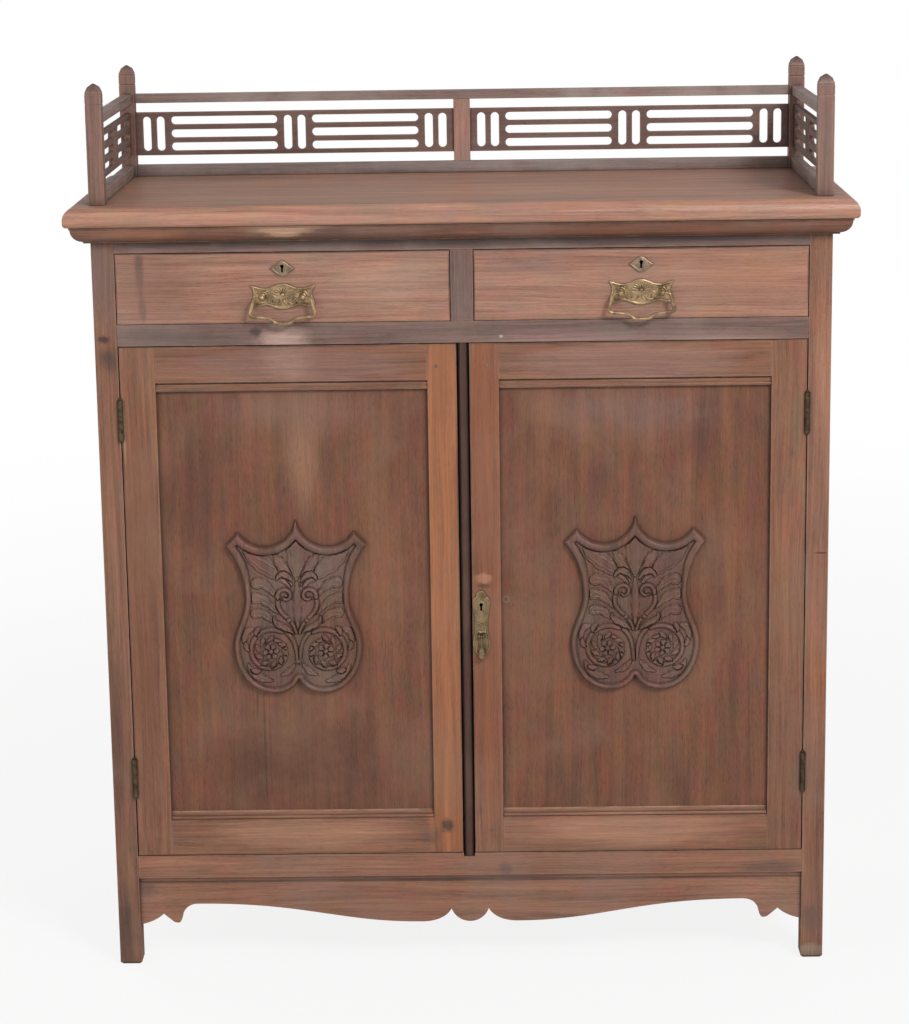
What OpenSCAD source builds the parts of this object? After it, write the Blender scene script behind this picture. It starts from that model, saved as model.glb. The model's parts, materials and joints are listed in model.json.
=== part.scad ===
// Buffet cabinet: two drawers over two panelled doors, and a fretwork gallery on the top board.
// Millimetres. X runs to the right, Y to the back and Z up; the origin is on the floor, midway.

/* [Case] */
// Width over the legs
case_w = 1100; // [1040:10:1300]
// Depth over the legs
case_d = 428; // [380:2:500]
// Side of a square leg
leg_w = 34; // [34:1:40]
// Height of the bottom rail's underside above the floor
foot_h = 142; // [130:1:180]
// Height of the door opening
door_opening_h = 802; // [760:2:900]
// Height of the drawer opening
drawer_opening_h = 107; // [100:1:130]
// Chamfer round the end of a foot
foot_chamfer = 4; // [1:0.5:6]

/* [Rails] */
// Thickness of the front rails and the side rails
rail_t = 22; // [20:1:23]
// Height of the top rail, over the drawers
top_rail_h = 42; // [36:1:60]
// Height of the mid rail, between the drawers and the doors
mid_rail_h = 33; // [26:1:45]
// Depth of the mid rail from front to back
mid_rail_d = 46; // [42:1:60]
// Height of the bottom rail, under the doors
bottom_rail_h = 37; // [32:1:50]
// Height of the top and bottom rails of each side
side_rail_h = 70; // [50:1:90]
// Height of the three back rails
back_rail_h = 52; // [40:1:60]
// Thickness of the back rails
back_rail_t = 20; // [18:1:24]
// Width of the divider between the drawers
divider_w = 34; // [28:1:44]
// Width of the muntin's rounded nose, between the doors
muntin_w = 17; // [14:1:24]
// How far the nose lies behind the door faces
muntin_recess = 2; // [0.5:0.5:5]
// How far the nose laps down into the bottom rail
muntin_lap = 6; // [3:1:10]
// Width of the muntin's back flange, where the doors stop
flange_w = 41; // [34:1:50]
// Thickness of the flange
flange_t = 12; // [8:1:16]

/* [Apron] */
// Thickness of the apron
apron_t = 14; // [10:1:14]
// How far the apron lies behind the leg faces
apron_recess = 6; // [2:1:8]
// Height above the floor of the apron's lowest points
apron_low = 64; // [50:1:80]
// Rise from the lowest points to the long flat by each bracket
apron_rise = 33; // [20:1:44]
// Half width of the lobe in the middle
lobe_half = 29; // [20:1:40]
// Height of the two cusps beside the lobe
lobe_rise = 21; // [12:1:28]
// Width of the pointed bracket at each leg
bracket_w = 91; // [80:1:110]

/* [Panels] */
// Thickness of the side panels and the back boards
panel_t = 8; // [6:1:10]
// Depth of the grooves that hold the panels
groove_d = 8; // [6:1:10]
// Number of boards in the back
back_board_count = 4; // [3:1:6]
// Tongue of each back board
board_tongue = 5; // [3:0.5:7]

/* [Top board] */
// Thickness of the top board
board_t = 30; // [26:1:36]
// Overhang at the front
over_front = 35; // [32:1:50]
// Overhang at each side
over_side = 36; // [32:1:50]
// Overhang at the back
over_back = 2; // [1:1:10]
// Radius of the nosing's upper edge
nose_top_r = 19; // [10:1:20]
// Radius of the nosing's lower edge
nose_low_r = 6; // [2:1:6]
// Height of the bed moulding under the board
bed_h = 25; // [20:1:32]
// Projection of the bed moulding
bed_w = 28; // [22:1:30]

/* [Gallery] */
// Side of a square corner post
post_w = 24; // [20:1:30]
// Height of a corner post above the board
post_h = 178; // [150:1:240]
// Height of the pointed cap
cap_h = 14.5; // [10:0.5:20]
// Distance between the two scored lines round a post
score_pitch = 16; // [10:1:24]
// Height of the gallery's top rail above the board, over all
gallery_h = 132; // [120:1:140]
// Thickness of the gallery rails
gallery_rail_t = 16; // [12:1:18]
// Height of the gallery's top rail
gallery_top_h = 14.5; // [12:0.5:20]
// Height of the gallery's bottom rail
gallery_low_h = 18; // [14:1:24]
// Width of the post in the middle of the back
mid_post_w = 26.5; // [20:0.5:34]
// Height of a fret panel
fret_h = 69; // [60:1:74]
// Thickness of a fret panel
fret_t = 8; // [6:1:10]
// Width of a slot in a fret
slot_w = 13; // [11:0.5:13.5]
// Length of an upright slot
slot_l = 55; // [45:1:56]
// Gap between the slots of an upright pair
pair_gap = 9; // [6:1:12]
// Gap between two groups of slots
group_gap = 10.5; // [8:0.5:14]
// Wood between the first slot and the post
fret_margin = 11.5; // [8:0.5:16]

/* [Doors] */
// Thickness of a door
door_t = 22; // [20:1:26]
// Width of the stile that carries the hinges
hinge_stile_w = 53; // [46:1:62]
// Width of the stile where the doors meet
meeting_stile_w = 44; // [40:1:56]
// Height of a door's top rail, with its bead
door_top_h = 69; // [58:1:80]
// Part of that height under the rail's flat face
bead_step = 14; // [10:1:18]
// Radius of the bead on the top rail
bead_r = 2.8; // [2:0.2:3]
// How far the lip with the bead lies behind the rail's flat face
bead_recess = 3; // [2:0.5:4]
// Height of a door's bottom rail, with its bevel
door_low_h = 70; // [60:1:84]
// Height of the bevel on the bottom rail
bevel_h = 18; // [10:1:22]
// How far a panel lies behind the door's face
panel_recess = 8; // [6:0.5:9]
// Thickness of a door panel
door_panel_t = 8; // [6:0.5:9]

/* [Shield] */
// Width of the shield over its ears
shield_w = 216; // [180:2:240]
// Height of the shield from peak to lobes
shield_h = 272; // [240:2:320]
// Height of the shield's middle above the floor
shield_z = 576; // [540:2:620]
// Thickness of the shield at its rim
shield_t = 11; // [9:0.5:13]
// Thickness of the carved ground inside the rim
shield_ground_t = 6; // [4:0.5:7]
// Width of the rim
shield_rim_w = 13; // [9:0.5:16]

/* [Drawers] */
// Thickness of a drawer front
front_t = 20; // [18:1:24]
// Thickness of a drawer's sides and back
side_t = 10; // [9:1:14]
// Thickness of a drawer bottom
bottom_t = 6; // [5:0.5:8]
// Height of the bottom's underside above the drawer's edge
bottom_rise = 10; // [8:1:14]
// Length of the dovetails into the front
tail_l = 13; // [10:1:15]
// Number of dovetails at each front corner
tail_count = 3; // [2:1:4]

/* [Inside] */
// Width of the runner under each drawer side
runner_w = 16; // [12:1:24]
// Height of the runners and the kickers
runner_h = 20; // [16:1:24]
// Height of the guides beside the drawers
guide_h = 18; // [12:1:30]
// Thickness of the cupboard floor
floor_t = 14; // [10:1:18]
// How far the floor stands above the bottom rail, to stop the doors
floor_lip = 8; // [5:1:12]
// Thickness of the shelf
shelf_t = 16; // [12:1:20]
// Height of the shelf's top above the floor of the room
shelf_z = 590; // [400:5:800]
// Width of the bearers under the shelf and the cupboard floor
bearer_w = 15; // [10:1:20]
// Height of the bearers
bearer_h = 20; // [16:1:30]

/* [Hinges] */
// Height of a hinge
hinge_h = 62; // [50:1:75]
// Height of the upper hinges' middle above the floor
hinge_top_z = 869; // [840:1:880]
// Height of the lower hinges' middle above the floor
hinge_low_z = 306; // [290:1:330]
// Radius of the knuckles
knuckle_r = 4; // [3.5:0.25:5]
// Radius of the hinge pin
pin_r = 1.8; // [1.5:0.1:2.2]
// Thickness of a hinge leaf
leaf_t = 2; // [1.5:0.1:2.4]
// Width of a hinge leaf behind the knuckles
leaf_w = 19; // [15:1:20]
// How far the hinge axis stands in front of the door's face
hinge_proud = 2; // [1:0.5:3]

/* [Drawer handles] */
// Distance between a handle's two posts
bail_span = 61; // [50:1:70]
// Height of a handle's posts above the drawer's lower edge
bail_rise = 40; // [38:1:48]
// Radius of the bail's wire
bail_r = 2.2; // [1.9:0.1:2.8]
// Radius of the bail's pins, in the posts
bail_pin_r = 1.7; // [1.2:0.1:1.8]
// Depth of the bail's arms
bail_drop = 19; // [15:0.5:22]
// Distance of the bail's axis from the plate
bail_stand = 13; // [10:0.5:18]
// Width of the backplate
plate_w = 97; // [88:1:110]
// Height of the backplate
plate_h = 38; // [32:1:44]
// Thickness of the brass plates
plate_t = 1.6; // [1:0.1:2.5]
// Width of a drawer's escutcheon
scutcheon_w = 38; // [32:1:46]
// Height of a drawer's escutcheon
scutcheon_h = 23; // [20:1:26]
// Distance of a drawer's keyhole below the drawer's top
key_drop = 21; // [19:1:24]
// Radius of a keyhole's round end
keyhole_r = 2.7; // [2:0.1:2.8]
// Width of a keyhole's slot
keyhole_slot = 3; // [2:0.1:3.2]
// Length of a keyhole over all
keyhole_l = 12; // [9:0.5:14]

/* [Door furniture] */
// Width of the door's lock plate
lock_plate_w = 26; // [22:1:28]
// Height of the door's lock plate
lock_plate_h = 108; // [96:1:124]
// Height of the door's keyhole above the floor
door_key_z = 577; // [540:1:620]
// Distance of the lock plate's top above the keyhole
lock_plate_top = 22; // [18:1:26]
// Distance of the drop's pivot below the keyhole
pull_drop = 48; // [40:1:52]
// Length of the drop below its pivot
pull_l = 37; // [30:1:42]
// Radius of the drop's foot
pull_r = 6.5; // [5:0.5:7]
// Radius of the drop's pivot pin
pull_pin_r = 1.5; // [1.2:0.1:2]
// Width of the door lock's case
door_lock_w = 32; // [26:1:34]
// Height of the door lock's case
door_lock_h = 64; // [50:1:80]
// Travel of the door lock's bolt
door_bolt_travel = 6; // [4:0.5:7]
// Width of a drawer lock's case
drawer_lock_w = 54; // [44:1:64]
// Height of a drawer lock's case
drawer_lock_h = 36; // [34:1:42]
// Depth of a lock case in the wood
lock_t = 11; // [9:0.5:12]
// Travel of a drawer lock's bolt
drawer_bolt_travel = 7; // [5:0.5:9]
// Length of the left door's slide bolt
slide_bolt_l = 62; // [50:1:80]
// Radius of the slide bolt
slide_bolt_r = 3; // [2.5:0.1:4]
// Travel of the slide bolt
slide_bolt_travel = 10; // [8:0.5:14]

/* [Fits] */
// Tenon thickness
tenon_t = 8; // [7:0.5:9]
// Tenon length
tenon_l = 18; // [14:1:18]
// Shoulder above and below a tenon
shoulder = 6; // [4:0.5:8]
// Clearance round a glued tenon or tongue
fit = 0.1; // [0.05:0.05:0.2]
// Clearance at the end of a tenon
end_gap = 0.5; // [0.3:0.1:1]
// Gap between a door and its opening
door_gap = 1; // [0.8:0.1:2]
// Gap on the hinge side of a door
hinge_gap = 1.5; // [1.2:0.1:2]
// Gap above a drawer and at its sides
drawer_gap = 0.9; // [0.5:0.1:1.5]
// Gap between faces that slide or close on each other
slide_gap = 0.3; // [0.2:0.05:0.5]
// Running clearance round a hinge or handle pin
pin_gap = 0.06; // [0.03:0.01:0.09]

/* [Hidden] */

// Smoothness of true round shapes, and number of steps in a drawn curve
$fn = 48;
curve_steps = 10;
// Overlap that lets a tenon or a cut start inside its neighbour
bite = 1;

// Depth of the board, and the front and back faces of the legs
board_d = over_front + case_d + over_back;
yf = over_front - board_d / 2;
yb = yf + case_d;
// Outer and inner faces of the right-hand legs, and the inner face of the side rails
xo = case_w / 2;
xi = xo - leg_w;
side_in = xo - rail_t;
// Heights from the floor up
z_floor = foot_h + bottom_rail_h;
z_mid = z_floor + door_opening_h;
z_drawer = z_mid + mid_rail_h;
z_rail = z_drawer + drawer_opening_h;
z_board = z_rail + top_rail_h;
z_top = z_board + board_t;
// Middle of the front rails, the side rails and the back rails across their thickness
y_rail = yf + rail_t / 2;
x_side = xo - rail_t / 2;
y_back = yb - back_rail_t / 2;
// Faces that stop the doors, and the front of everything behind the doors
y_stop = yf + max(door_t, rail_t) + slide_gap;
// Back rails: the top and bottom ones hold the back boards, and the middle one stands before them
back_rail_z = [foot_h, z_board - back_rail_h];
z_back_mid = z_drawer - back_rail_h;
y_mid_front = y_back - panel_t / 2 - back_rail_t;

// Places of the gallery's posts, rails and frets
x_post = xo - post_w / 2;
y_posts = [yf + post_w / 2, yb - post_w / 2];
gallery_rail_z = [[z_top, z_top + gallery_low_h], [z_top + gallery_h - gallery_top_h, z_top + gallery_h]];
z_fret = (gallery_rail_z[0][1] + gallery_rail_z[1][0] - fret_h) / 2;
gallery_tenon_l = 7;
gallery_shoulder = 3;
gallery_stub_l = 4;
fret_tongue = 4;
score_d = 0.8;
dowel_r = 6;
dowel_l = 16;
// Small fillets of the bed moulding, above and below its round
bed_fillet = 3;
bed_base = 2;
// Stops behind the drawer fronts
stop_w = 40;
stop_d = 14;
stop_h = 6;
stop_spread = 120;
// Space behind a closed drawer, and depth of the housings in its sides
drawer_back_gap = 5;
housing_d = 4;
// Gap between the two leaves of a hinge, and the round tip of its pin
leaf_gap = 0.2;
pin_tip = 1.5;
// Door tenons, and the height of a step in the shield's rim and its carving
door_tenon_l = 30;
rim_step = 1.5;
// Bolts of the locks
lock_bolt_t = 5;
door_bolt_h = 16;
door_bolt_l = 15;
drawer_bolt_w = 24;
drawer_bolt_l = 14;
// Posts and shanks of the drawer handles, and the bail's elbows
handle_post_r = 4;
shank_r = 2.5;
shank_l = 16;
bail_elbow = 6;
bail_bar = 9;
wire_step = 12;
wire_sides = 10;
// Ears of the door's pull, and the stand of its pivot off the plate
ear_in = 2.6;
ear_t = 2;
ear_r = 3.4;
pull_stand = 7;
// Plate and staples of the slide bolt
staple_w = 11;
staple_h = 9;
slide_plate_h = 50;

wood = [0.48, 0.31, 0.24];
panel_wood = [0.43, 0.27, 0.20];
front_wood = [0.60, 0.42, 0.33];
edge_wood = [0.58, 0.38, 0.26];
frame_wood = [0.40, 0.29, 0.25];
inside_wood = [0.63, 0.49, 0.36];
brass = [0.62, 0.55, 0.36];

// Block between two opposite corners
module block(low, high) translate(low) cube(high - low);

// A shape and its mirror image in the middle plane
module both_sides() {
    children();
    mirror([1, 0, 0]) children();
}

// Profile drawn across X and up Z, run along Y from y0 to y1
module run_y(y0, y1) translate([0, y1, 0]) rotate([90, 0, 0]) linear_extrude(y1 - y0) children();

// Profile drawn along Y and up Z, run along X from x0 to x1
module run_x(x0, x1) translate([x0, 0, 0]) rotate([90, 0, 90]) linear_extrude(x1 - x0) children();

// Points of a cubic curve, without its last one
function curve(a, b, c, d, n = curve_steps) = [
    for (i = [0 : n - 1]) let (t = i / n, u = 1 - t)
        u * u * u * a + 3 * u * u * t * b + 3 * u * t * t * c + t * t * t * d
];
// Points of a circular arc, without its last one
function arc(centre, r, from, to, n = curve_steps) = [
    for (i = [0 : n - 1]) let (a = from + (to - from) * i / n) centre + r * [cos(a), sin(a)]
];
// A half outline, from top to bottom on the right, closed by its mirror image
function closed(half) = concat(half, [for (i = [len(half) - 1 : -1 : 0])
    if (half[i][0] > bite / 10) [-half[i][0], half[i][1]]]);

// Tenon along X from a shoulder at x, towards dir; a gap above 0 makes its mortise
module tenon_x(x, dir, y, z0, z1, gap = 0, length = tenon_l, inset = shoulder) {
    far = x + dir * (length + (gap > 0 ? end_gap : 0));
    near = x - dir * bite;
    block([min(near, far), y - tenon_t / 2 - gap, z0 + inset - gap],
          [max(near, far), y + tenon_t / 2 + gap, z1 - inset + gap]);
}
// Tenon along Y in the same way
module tenon_y(y, dir, x, z0, z1, gap = 0, length = tenon_l, inset = shoulder) {
    far = y + dir * (length + (gap > 0 ? end_gap : 0));
    near = y - dir * bite;
    block([x - tenon_t / 2 - gap, min(near, far), z0 + inset - gap],
          [x + tenon_t / 2 + gap, max(near, far), z1 - inset + gap]);
}

// Tenons of the rails that run from leg to leg, for the right-hand legs
module front_tenons(gap = 0) {
    tenon_x(xi, 1, y_rail, z_rail, z_board, gap);
    tenon_x(xi, 1, y_rail, z_mid, z_drawer, gap);
    tenon_x(xi, 1, y_rail, foot_h, z_floor, gap);
}
module back_tenons(gap = 0) {
    for (z = back_rail_z) tenon_x(xi, 1, y_back, z, z + back_rail_h, gap);
    tenon_x(xi, 1, y_mid_front + back_rail_t / 2, z_back_mid, z_drawer, gap);
}
module side_tenons(gap = 0) for (z = [foot_h, z_board - side_rail_h]) {
    tenon_y(yf + leg_w, -1, x_side, z, z + side_rail_h, gap);
    tenon_y(yb - leg_w, 1, x_side, z, z + side_rail_h, gap);
}

// Apron's end, which a leg houses
module apron_end(gap = 0) {
    block([xi - bite, yf + apron_recess - gap, apron_low - gap],
          [xi + groove_d + gap, yf + apron_recess + apron_t + gap, foot_h + gap]);
}

// Panel between the side rails and the legs, in their grooves
module side_panel_body(gap = 0) {
    block([x_side - panel_t / 2 - gap, yf + leg_w - groove_d, foot_h + side_rail_h - groove_d],
          [x_side + panel_t / 2 + gap, yb - leg_w + groove_d, z_board - side_rail_h + groove_d]);
}
// Space of the back boards, in the grooves of the back legs and rails
module back_panel_body(x, gap = 0) {
    block([-x, y_back - panel_t / 2 - gap, foot_h + back_rail_h - groove_d],
          [x, y_back + panel_t / 2 + gap, z_board - back_rail_h + groove_d]);
}

// Square leg with its foot chamfered on all four sides, at the right, from y0 back
module leg_blank(y0) {
    c = foot_chamfer;
    intersection() {
        run_y(y0, y0 + leg_w)
            polygon([[xi, c], [xi + c, 0], [xo - c, 0], [xo, c], [xo, z_board], [xi, z_board]]);
        run_x(xi, xo) polygon([[y0, c], [y0 + c, 0], [y0 + leg_w - c, 0], [y0 + leg_w, c],
                               [y0 + leg_w, z_board], [y0, z_board]]);
    }
}
module front_legs() color(wood) both_sides() difference() {
    leg_blank(yf);
    front_tenons(fit);
    side_tenons(fit);
    apron_end(fit);
    side_panel_body(fit);
    for (z = [hinge_low_z, hinge_top_z]) case_leaf_seat(z);
}
module back_legs() color(wood) both_sides() difference() {
    leg_blank(yb - leg_w);
    back_tenons(fit);
    side_tenons(fit);
    side_panel_body(fit);
    back_panel_body(xi + groove_d, fit);
}

// Middle of a drawer's keyhole and lock across the front
x_drawer_in = divider_w / 2;
x_drawer_mid = (xi + x_drawer_in) / 2;
z_front_top = z_rail - drawer_gap;
z_key = z_front_top - key_drop;

// Stub tenon of an upright between two rails, upwards or downwards
module stub_z(w, y, z, dir, gap = 0) {
    far = z + dir * (tenon_l / 2 + (gap > 0 ? end_gap : 0));
    near = z - dir * bite;
    block([-w / 4 - gap, y - tenon_t / 2 - gap, min(near, far)],
          [w / 4 + gap, y + tenon_t / 2 + gap, max(near, far)]);
}
module top_rail() color(frame_wood) difference() {
    union() {
        block([-xi, yf, z_rail], [xi, yf + rail_t, z_board]);
        both_sides() tenon_x(xi, 1, y_rail, z_rail, z_board);
    }
    stub_z(divider_w, y_rail, z_rail, 1, fit);
    both_sides() drawer_bolt_pocket();
}
module drawer_divider() color(frame_wood) {
    block([-divider_w / 2, yf, z_drawer], [divider_w / 2, yf + rail_t, z_rail]);
    stub_z(divider_w, y_rail, z_rail, 1);
    stub_z(divider_w, y_rail, z_drawer, -1);
}
module mid_rail() color(frame_wood) difference() {
    union() {
        block([-xi, yf, z_mid], [xi, yf + mid_rail_d, z_drawer]);
        both_sides() tenon_x(xi, 1, y_rail, z_mid, z_drawer);
    }
    stub_z(divider_w, y_rail, z_drawer, -1, fit);
    stub_z(muntin_w, y_rail, z_mid, 1, fit);
    runner_stubs(fit);
    translate([x_slide_bolt, y_slide_bolt, z_mid - bite])
        cylinder(r = slide_bolt_r + slide_gap, h = slide_bolt_travel + 2 * bite);
}
module centre_muntin() {
    nose_y = yf + muntin_recess + muntin_w / 2;
    color(frame_wood) difference() {
        union() {
            translate([0, nose_y, z_floor - muntin_lap])
                cylinder(r = muntin_w / 2, h = z_mid - z_floor + muntin_lap);
            block([-muntin_w / 2, nose_y, z_floor - muntin_lap], [muntin_w / 2, y_stop, z_mid]);
            block([-flange_w / 2, y_stop, z_floor + floor_lip], [flange_w / 2, y_stop + flange_t, z_mid]);
            stub_z(muntin_w, y_rail, z_mid, 1);
            stub_z(muntin_w, y_rail, z_floor - muntin_lap, -1);
        }
        door_bolt_pocket();
    }
}
module bottom_rail() color(wood) difference() {
    union() {
        block([-xi, yf, foot_h], [xi, yf + rail_t, z_floor]);
        both_sides() tenon_x(xi, 1, y_rail, foot_h, z_floor);
    }
    block([-muntin_w / 2, yf - bite, z_floor - muntin_lap],
          [muntin_w / 2, yf + rail_t + bite, z_floor + bite]);
    stub_z(muntin_w, y_rail, z_floor - muntin_lap, -1, fit);
}

// Lower edge of half the apron, from the middle to the leg
function apron_edge() = let (
    low = apron_low, flat_z = low + apron_rise, cusp_z = low + lobe_rise, x0 = xi - bracket_w,
    lobe_r = (lobe_half * lobe_half + lobe_rise * lobe_rise) / (2 * lobe_rise),
    lobe_a = asin(lobe_half / lobe_r), belly_x = lobe_half + 46,
    drop_x = x0 + 32, point_x = xi - 36, point_z = low + 17
) concat(
    arc([0, low + lobe_r], lobe_r, -90, -90 + lobe_a),
    curve([lobe_half, cusp_z], [lobe_half + 7, cusp_z - 13], [belly_x - 23, low], [belly_x, low]),
    curve([belly_x, low], [belly_x + 130, low], [x0 - 170, flat_z], [x0, flat_z], 2 * curve_steps),
    curve([x0, flat_z], [x0 + 15, flat_z], [x0 + 24, flat_z - 8], [x0 + 26, flat_z - 23]),
    curve([x0 + 26, flat_z - 23], [x0 + 28, low + 4], [x0 + 30, low + 2], [drop_x, low + 2]),
    curve([drop_x, low + 2], [drop_x + 6, low + 2], [drop_x + 8, low + 4], [drop_x + 10, low + 6]),
    curve([point_x, point_z], [point_x + 8, point_z - 8], [xi - 14, low + 2], [xi, low]),
    [[xi, low]]
);
module apron() color(wood) {
    edge = apron_edge();
    y0 = yf + apron_recess;
    run_y(y0, y0 + apron_t) polygon(closed(concat([[0, foot_h]], [[xi, foot_h]],
        [for (i = [len(edge) - 1 : -1 : 0]) edge[i]])));
    both_sides() apron_end();
}

module side_rails() color(wood) both_sides() difference() {
    union() {
        for (z = [foot_h, z_board - side_rail_h])
            block([side_in, yf + leg_w, z], [xo, yb - leg_w, z + side_rail_h]);
        side_tenons();
    }
    side_panel_body(fit);
}
module side_panels() color(panel_wood) both_sides() side_panel_body();

module back_rails() color(inside_wood) difference() {
    union() {
        for (z = back_rail_z) block([-xi, yb - back_rail_t, z], [xi, yb, z + back_rail_h]);
        block([-xi, y_mid_front, z_back_mid], [xi, y_mid_front + back_rail_t, z_drawer]);
        both_sides() back_tenons();
    }
    back_panel_body(xi + groove_d, fit);
}
// Upright back boards, each with a tongue that enters its neighbour on the right
module back_boards() color(inside_wood) {
    half = xi + groove_d - end_gap;
    pitch = 2 * half / back_board_count;
    for (i = [0 : back_board_count - 1]) {
        x0 = -half + i * pitch;
        last = i == back_board_count - 1;
        difference() {
            intersection() {
                back_panel_body(half);
                union() {
                    block([x0, yf, 0], [x0 + pitch - (last ? 0 : fit), yb, z_top]);
                    if (!last) board_tongue_body(x0 + pitch);
                }
            }
            if (i > 0) board_tongue_body(x0, fit);
        }
    }
}
// Tongue over the joint at x, a third of a board thick
module board_tongue_body(x, gap = 0) {
    block([x - bite, y_back - panel_t / 6 - gap, -bite],
          [x + board_tongue + gap, y_back + panel_t / 6 + gap, z_top]);
}

// Stub tenons of the runners in the back of the mid rail
module runner_stubs(gap = 0) {
    y0 = yf + mid_rail_d - tenon_t - gap;
    z0 = z_drawer - runner_h / 2 - tenon_t / 2 - gap;
    both_sides() block([xi - runner_w + fit, y0, z0],
                       [xi - fit, yf + mid_rail_d + bite, z0 + tenon_t + 2 * gap]);
    block([-divider_w / 2, y0, z0], [divider_w / 2, yf + mid_rail_d + bite, z0 + tenon_t + 2 * gap]);
}
module drawer_runners() color(inside_wood) {
    y0 = yf + mid_rail_d;
    z0 = z_drawer - runner_h;
    runner_stubs();
    both_sides() {
        block([xi - runner_w, y0, z0], [xi, y_mid_front, z_drawer]);
        block([xi - bite, y0, z0], [side_in, yb - leg_w, z_drawer]);
    }
    block([-divider_w / 2 - runner_w, y0, z0], [divider_w / 2 + runner_w, y_mid_front, z_drawer]);
}
module drawer_guides() color(inside_wood) {
    both_sides() block([xi, yf + mid_rail_d, z_drawer], [side_in, yb - leg_w, z_drawer + guide_h]);
    block([-divider_w / 2, yf + rail_t, z_drawer], [divider_w / 2, y_mid_front, z_drawer + guide_h]);
}
module drawer_stops() color(inside_wood) both_sides() for (s = [-1, 1]) {
    x = x_drawer_mid + s * stop_spread;
    y0 = yf + front_t + slide_gap;
    block([x - stop_w / 2, y0, z_drawer], [x + stop_w / 2, y0 + stop_d, z_drawer + stop_h]);
}
module kickers() color(inside_wood) {
    both_sides()
        block([xi - runner_w, yf + rail_t, z_rail], [xi, yb - back_rail_t, z_rail + runner_h]);
    block([-divider_w / 2 - runner_w, yf + rail_t, z_rail],
          [divider_w / 2 + runner_w, yb - back_rail_t, z_rail + runner_h]);
}

// Room that the legs take from a board between them
module leg_corners() both_sides() for (y = [yf, yb - leg_w])
    block([xi - fit, y - fit, 0], [xo, y + leg_w + fit, z_board]);
module cupboard_floor() color(inside_wood) difference() {
    block([-side_in, y_stop, z_floor + floor_lip - floor_t],
          [side_in, yb - back_rail_t, z_floor + floor_lip]);
    leg_corners();
}
module shelf() color(inside_wood) difference() {
    block([-side_in, y_stop + flange_t + fit, shelf_z - shelf_t],
          [side_in, yb - back_rail_t, shelf_z]);
    leg_corners();
}
// The shelf has one bearer at each side, and the floor has a third behind the bottom rail
module bearers() color(inside_wood) {
    z = z_floor + floor_lip - floor_t;
    y0 = yf + rail_t;
    both_sides() {
        block([xi - bearer_w, y_stop, shelf_z - shelf_t - bearer_h],
              [xi, yb - back_rail_t, shelf_z - shelf_t]);
        block([xi - bearer_w, y0 + bearer_w + fit, z - bearer_h], [xi, yb - back_rail_t, z]);
    }
    block([-xi, y0, z - bearer_h], [xi, y0 + bearer_w, z]);
}

// Section of the board in one direction, with its rounded edge at the right; 0 is its underside
module nosed_edge(end) {
    difference() {
        translate([end - over_front, 0]) square([over_front, board_t]);
        difference() {
            translate([end - nose_top_r, board_t - nose_top_r]) square(nose_top_r + bite);
            translate([end - nose_top_r, board_t - nose_top_r]) circle(nose_top_r);
        }
        difference() {
            translate([end - nose_low_r, -bite]) square(nose_low_r + bite);
            translate([end - nose_low_r, nose_low_r]) circle(nose_low_r);
        }
    }
}
module top_board() {
    half = xo + over_side;
    front = board_d / 2;
    color(wood) translate([0, 0, z_board]) difference() {
        intersection() {
            run_y(-front, front) {
                nosed_edge(half);
                mirror([1, 0]) nosed_edge(half);
                translate([over_front - half - bite, 0]) square([2 * (half - over_front + bite), board_t]);
            }
            run_x(-half, half) {
                mirror([1, 0]) nosed_edge(front);
                translate([over_front - front - bite, 0]) square([board_d - over_front + bite, board_t]);
            }
        }
        for (x = [-x_post, x_post], y = y_posts) translate([x, y, board_t - dowel_l - end_gap])
            cylinder(r = dowel_r + fit, h = dowel_l + end_gap + bite);
    }
}
// Section of the bed moulding: a quarter round between two fillets, from its back face at 0
module bed_section() {
    round_r = min(bed_h - bed_fillet, bed_w - bed_fillet / 2) - bed_base;
    core_w = bed_w - bed_fillet / 2 - round_r;
    intersection() {
        square([bed_w, bed_h]);
        union() {
            translate([0, bed_h - bed_fillet]) square([bed_w, bed_fillet]);
            translate([core_w, bed_h - bed_fillet]) circle(round_r);
            square([core_w, bed_h]);
            square([core_w + bed_fillet, bed_base]);
        }
    }
}
// Three mitred lengths, glued under the board round the front and the sides
module bed_moulding() color(wood) {
    z0 = z_board - bed_h;
    intersection() {
        translate([0, yf, z0]) mirror([0, 1, 0]) run_x(-xo - bed_w, xo + bed_w) bed_section();
        translate([0, 0, z0]) linear_extrude(bed_h) polygon([
            [-xo, yf], [xo, yf], [xo + bed_w, yf - bed_w], [-xo - bed_w, yf - bed_w]]);
    }
    both_sides() intersection() {
        translate([xo, 0, z0]) run_y(yf - bed_w, yb) bed_section();
        translate([0, 0, z0]) linear_extrude(bed_h) polygon([
            [xo, yf + fit], [xo + bed_w, yf + fit - bed_w], [xo + bed_w, yb], [xo, yb]]);
    }
}

// Outline of a corner post's face: scored twice and pointed at the top
module post_face() {
    h = post_w / 2;
    cap_z = post_h - cap_h;
    edge = concat([[h, 0]],
        [for (z = [cap_z - score_pitch, cap_z], d = [-score_d, 0, score_d])
            [d == 0 ? h - score_d : h, z + d]],
        [[h * 0.7, post_h - cap_h * 0.35], [h * 0.12, post_h]]);
    polygon(concat(edge, [for (i = [len(edge) - 1 : -1 : 0]) [-edge[i][0], edge[i][1]]]));
}
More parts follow.
